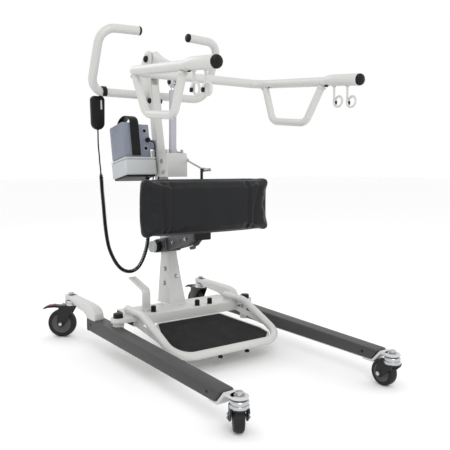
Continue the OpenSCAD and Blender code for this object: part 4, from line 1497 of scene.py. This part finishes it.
way = (STAY_FRONT - STAY_BACK).normalized()
stay = [
    eye(STAY_BACK, 15, 6.2, 6), eye(STAY_FRONT, 14, 6.2, 6),
    bar(STAY_BACK + way * 6, STAY_FRONT - way * 6, 7, 0.6),
]
piece("stay_rod", stay, "pad_stay", "zinc", ["pad_stay_rod"])
screw_y, screw_z = STAY_FRONT.yz
wing_boss = [(0, 0), (5, 0), (5.5, 1), (5.5, 10.4), (4.4, 12), (0, 12)]
wing = [
    bar((6.2, screw_y, screw_z), (16, screw_y, screw_z), 6),
    lathe(wing_boss, (15, screw_y, screw_z), (1, 0, 0), 28),
]
for s in (-1, 1):
    tip = [
        (screw_y + s * (15 + 4.6 * math.cos(a)), screw_z + 5.6 * math.sin(a))
        for a in [math.radians(-80 + 20 * i) for i in range(9)]
    ]
    wing_outline = [(screw_y + s * 3, screw_z - 4.5), (screw_y + s * 12, screw_z - 5)] + tip
    wing_outline += [(screw_y + s * 12, screw_z + 5), (screw_y + s * 3, screw_z + 4.5)]
    wing.append(side_plate(wing_outline[::s], 22.5, 3.4, 1, 2, 50))
piece("wing_screw_head", wing, "wing_screw", "zinc", ["pad_wing_screw"])
print("stay rod is", round((STAY_FRONT - STAY_BACK).length), "mm between its eyes")

# %% [markdown]
# ## Knee pad
# The pad is foam in a black coated fabric, loose enough to show upright folds near its
# ends. A block of foam could be a rounded box, but it would look hard. So the bag is
# inflated as cloth, with its back held flat on the board. The folds are pressed into it
# afterwards, because the remesh before the cloth would lose anything so fine.

# %% Coated fabric
def pad_material():
    """Coated cloth: a fine crossed weave under a soft sheen."""
    made = finish_material(
        "pad_vinyl", (0.06, 0.065, 0.078), 0.5, 0.14, grain=260, depth=0.06, drift=0.3, dust=0.01,
        shine=0.25,
    )
    tree = made.node_tree
    shader = tree.nodes["Principled BSDF"]
    shader.inputs["Sheen Weight"].default_value = 0.05
    shader.inputs["Sheen Roughness"].default_value = 0.4
    place = tree.nodes.new("ShaderNodeTexCoord")
    heights = []
    for axis in ("X", "Z"):
        wave = tree.nodes.new("ShaderNodeTexWave")
        wave.wave_type = "BANDS"
        wave.bands_direction = axis
        wave.inputs["Scale"].default_value = 260
        wave.inputs["Distortion"].default_value = 0.3
        tree.links.new(place.outputs["Object"], wave.inputs["Vector"])
        heights.append(wave.outputs["Fac"])
    woven = maths(tree, "MULTIPLY", heights[0], heights[1])
    bump = tree.nodes.new("ShaderNodeBump")
    bump.inputs["Distance"].default_value = 0.00012
    bump.inputs["Strength"].default_value = 1.0
    tree.links.new(woven, bump.inputs["Height"])
    old = [n for n in tree.nodes if n.type == "BUMP" and n != bump][0]
    tree.links.new(old.outputs["Normal"], bump.inputs["Normal"])
    tree.links.new(bump.outputs["Normal"], shader.inputs["Normal"])


pad_material()
print("fabric is ready")

# %% The bag, inflated
def inflated(shape, voxel, pressure, cap, held, frames=20):
    """Blows a closed shape up as a bag of cloth, its held points fixed, and returns its mesh."""
    mesh = bpy.data.meshes.new("bag")
    moved(shape, TO_MODEL)
    shape.to_mesh(mesh)
    shape.free()
    bag = bpy.data.objects.new("bag", mesh)
    scene.collection.objects.link(bag)
    remesh = bag.modifiers.new("even", "REMESH")
    remesh.mode = "VOXEL"
    remesh.voxel_size = voxel / 1000
    even = bpy.data.meshes.new_from_object(bag.evaluated_get(bpy.context.evaluated_depsgraph_get()))
    bag.modifiers.clear()
    bag.data = even
    rest = [v.co.copy() for v in even.vertices]
    group = bag.vertex_groups.new(name="held")
    group.add([i for i, place in enumerate(rest) if held(place)], 1.0, "REPLACE")
    cloth = bag.modifiers.new("cloth", "CLOTH")
    cloth.settings.vertex_group_mass = "held"
    cloth.settings.quality = 6
    cloth.settings.mass = 0.3
    cloth.settings.use_pressure = True
    cloth.settings.uniform_pressure_force = pressure
    cloth.settings.effector_weights.gravity = 0
    cloth.point_cache.frame_start = 1
    cloth.point_cache.frame_end = frames
    for step in range(1, frames + 1):
        scene.frame_set(step)
    blown = bpy.data.meshes.new_from_object(bag.evaluated_get(bpy.context.evaluated_depsgraph_get()))
    scene.frame_set(1)
    bag.modifiers.clear()
    bag.data = blown
    for vert, start in zip(blown.vertices, rest):
        shift = vert.co - start
        if shift.length > cap / 1000:
            vert.co = start + shift.normalized() * cap / 1000
    result = bag.data
    bpy.data.objects.remove(bag)
    return result


PAD_HALF = 235
HELD_DEPTH = 0.004
pad_back = spot(0, -61.4, 0).y
foam = block((-PAD_HALF, -103, 396), (PAD_HALF, -61, 574), 17, 5)
pad_mesh = inflated(foam, 5, 4, 9, lambda place: place.y > pad_back - HELD_DEPTH)
print("pad has", len(pad_mesh.vertices), "points after the cloth has run")

# %% Folds and the finished pad
FOLD_LEVEL = 480
FRONT_DEPTH = 0.012


def fold(x, centre, width, depth):
    """How deep a fold presses at x, in millimetres."""
    return depth * math.exp(-(((x - centre) / width) ** 2))


for vert in pad_mesh.vertices:
    x, z = vert.co.x * 1000 - FRAME_X, vert.co.z * 1000
    front = max(0.0, min(1.0, (pad_back - FRONT_DEPTH - vert.co.y) / FRONT_DEPTH))
    lean_in = (z - FOLD_LEVEL) * 0.05
    press = fold(x + lean_in, -172, 5, 5.5) + fold(x - lean_in, -150, 4, 3.6)
    press += fold(x, 138, 5, 5) + fold(x - 0.3 * max(0, z - 470), 160, 5, 3.4)
    press += fold(x + 0.4 * (z - FOLD_LEVEL), 30, 26, 1.1) + fold(x, -60, 30, 0.9)
    press -= fold(x, -161, 5, 2) + fold(x, 149, 5, 1.8)
    vert.co.y += front * press / 1000
pad_mesh.name = "knee_pad_cover"
pad = bpy.data.objects.new("knee_pad_cover", pad_mesh)
scene.collection.objects.link(pad)
smooth = pad.modifiers.new("smooth", "SUBSURF")
smooth.levels = smooth.render_levels = 1
final = bpy.data.meshes.new_from_object(pad.evaluated_get(bpy.context.evaluated_depsgraph_get()))
pad.modifiers.clear()
pad.data = final
final.polygons.foreach_set("use_smooth", [True] * len(final.polygons))
final.materials.clear()
final.materials.append(finishes["pad_vinyl"])
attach(pad, "knee_support")
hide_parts("knee_pad")
print("pad is", [round(1000 * d) for d in pad.dimensions], "mm")

# %% [markdown]
# ## Anything still plain
# A plain solid of the mechanical model that no piece stands for keeps its own mesh, and
# gets the finish of its material slot.

# %% Finishes for the model's own solids
for row in frame["record"]["subparts"]:
    solid = frame["nodes"][row["node"]]
    solid.data.materials.clear()
    solid.data.materials.append(finishes[row["material_slot"]])

# %% [markdown]
# ## Floor and light
# The lift stands on a pale, plain floor under soft light: a strong lamp in front on the
# left, a wide, weak one on the right, one behind, and a bright, even surrounding. The
# Standard view shows colours as they are, so white paint stays white.

# %% Floor, lamps and surroundings
floor_shape = bmesh.new()
bmesh.ops.create_grid(floor_shape, x_segments=1, y_segments=1, size=30)
floor_mesh = bpy.data.meshes.new("floor")
floor_shape.to_mesh(floor_mesh)
floor_shape.free()
floor = bpy.data.objects.new("floor", floor_mesh)
scene.collection.objects.link(floor)
floor.location.z = -0.0005
pale = bpy.data.materials.new("pale_floor")
pale.use_nodes = True
pale_shader = pale.node_tree.nodes["Principled BSDF"]
pale_shader.inputs["Base Color"].default_value = (0.97, 0.97, 0.97, 1)
pale_shader.inputs["Roughness"].default_value = 0.85
floor.data.materials.append(pale)
floor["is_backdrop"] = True


def lamp(name, place, target, size, power):
    """A square area lamp at a place in metres, aimed at a target."""
    data = bpy.data.lights.new(name, "AREA")
    data.shape = "SQUARE"
    data.size = size
    data.energy = power
    made = bpy.data.objects.new(name, data)
    made.location = place
    made.rotation_euler = (Vector(target) - Vector(place)).to_track_quat("-Z", "Y").to_euler()
    scene.collection.objects.link(made)


lamp("key_lamp", (-1.4, -2.9, 2.7), (0, 0, 0.5), 1.2, 34)
lamp("fill_lamp", (2.9, -1.6, 1.7), (0, 0, 0.5), 2.0, 5)
lamp("back_lamp", (-0.8, 2.8, 2.6), (0, 0, 0.6), 1.8, 16)
scene.view_settings.view_transform = "Standard"
world = bpy.data.worlds.new("surroundings")
scene.world = world
world.use_nodes = True
background = world.node_tree.nodes["Background"]
background.inputs["Color"].default_value = (1, 1, 1, 1)
background.inputs["Strength"].default_value = 1.0

# %% [markdown]
# ## The last check
# The visual model's box is set against the mechanical model's box, and how far each corner moved is
# printed. The visual model has to stay in the mechanical model's box.

# %% Sizes of the two boxes
visual_box = [list(corner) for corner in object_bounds()]
for low_high, cad, seen in zip(("low", "high"), cad_box, visual_box):
    print(low_high, "corner moved by mm:", [round(1000 * (b - a), 1) for a, b in zip(cad, seen)])
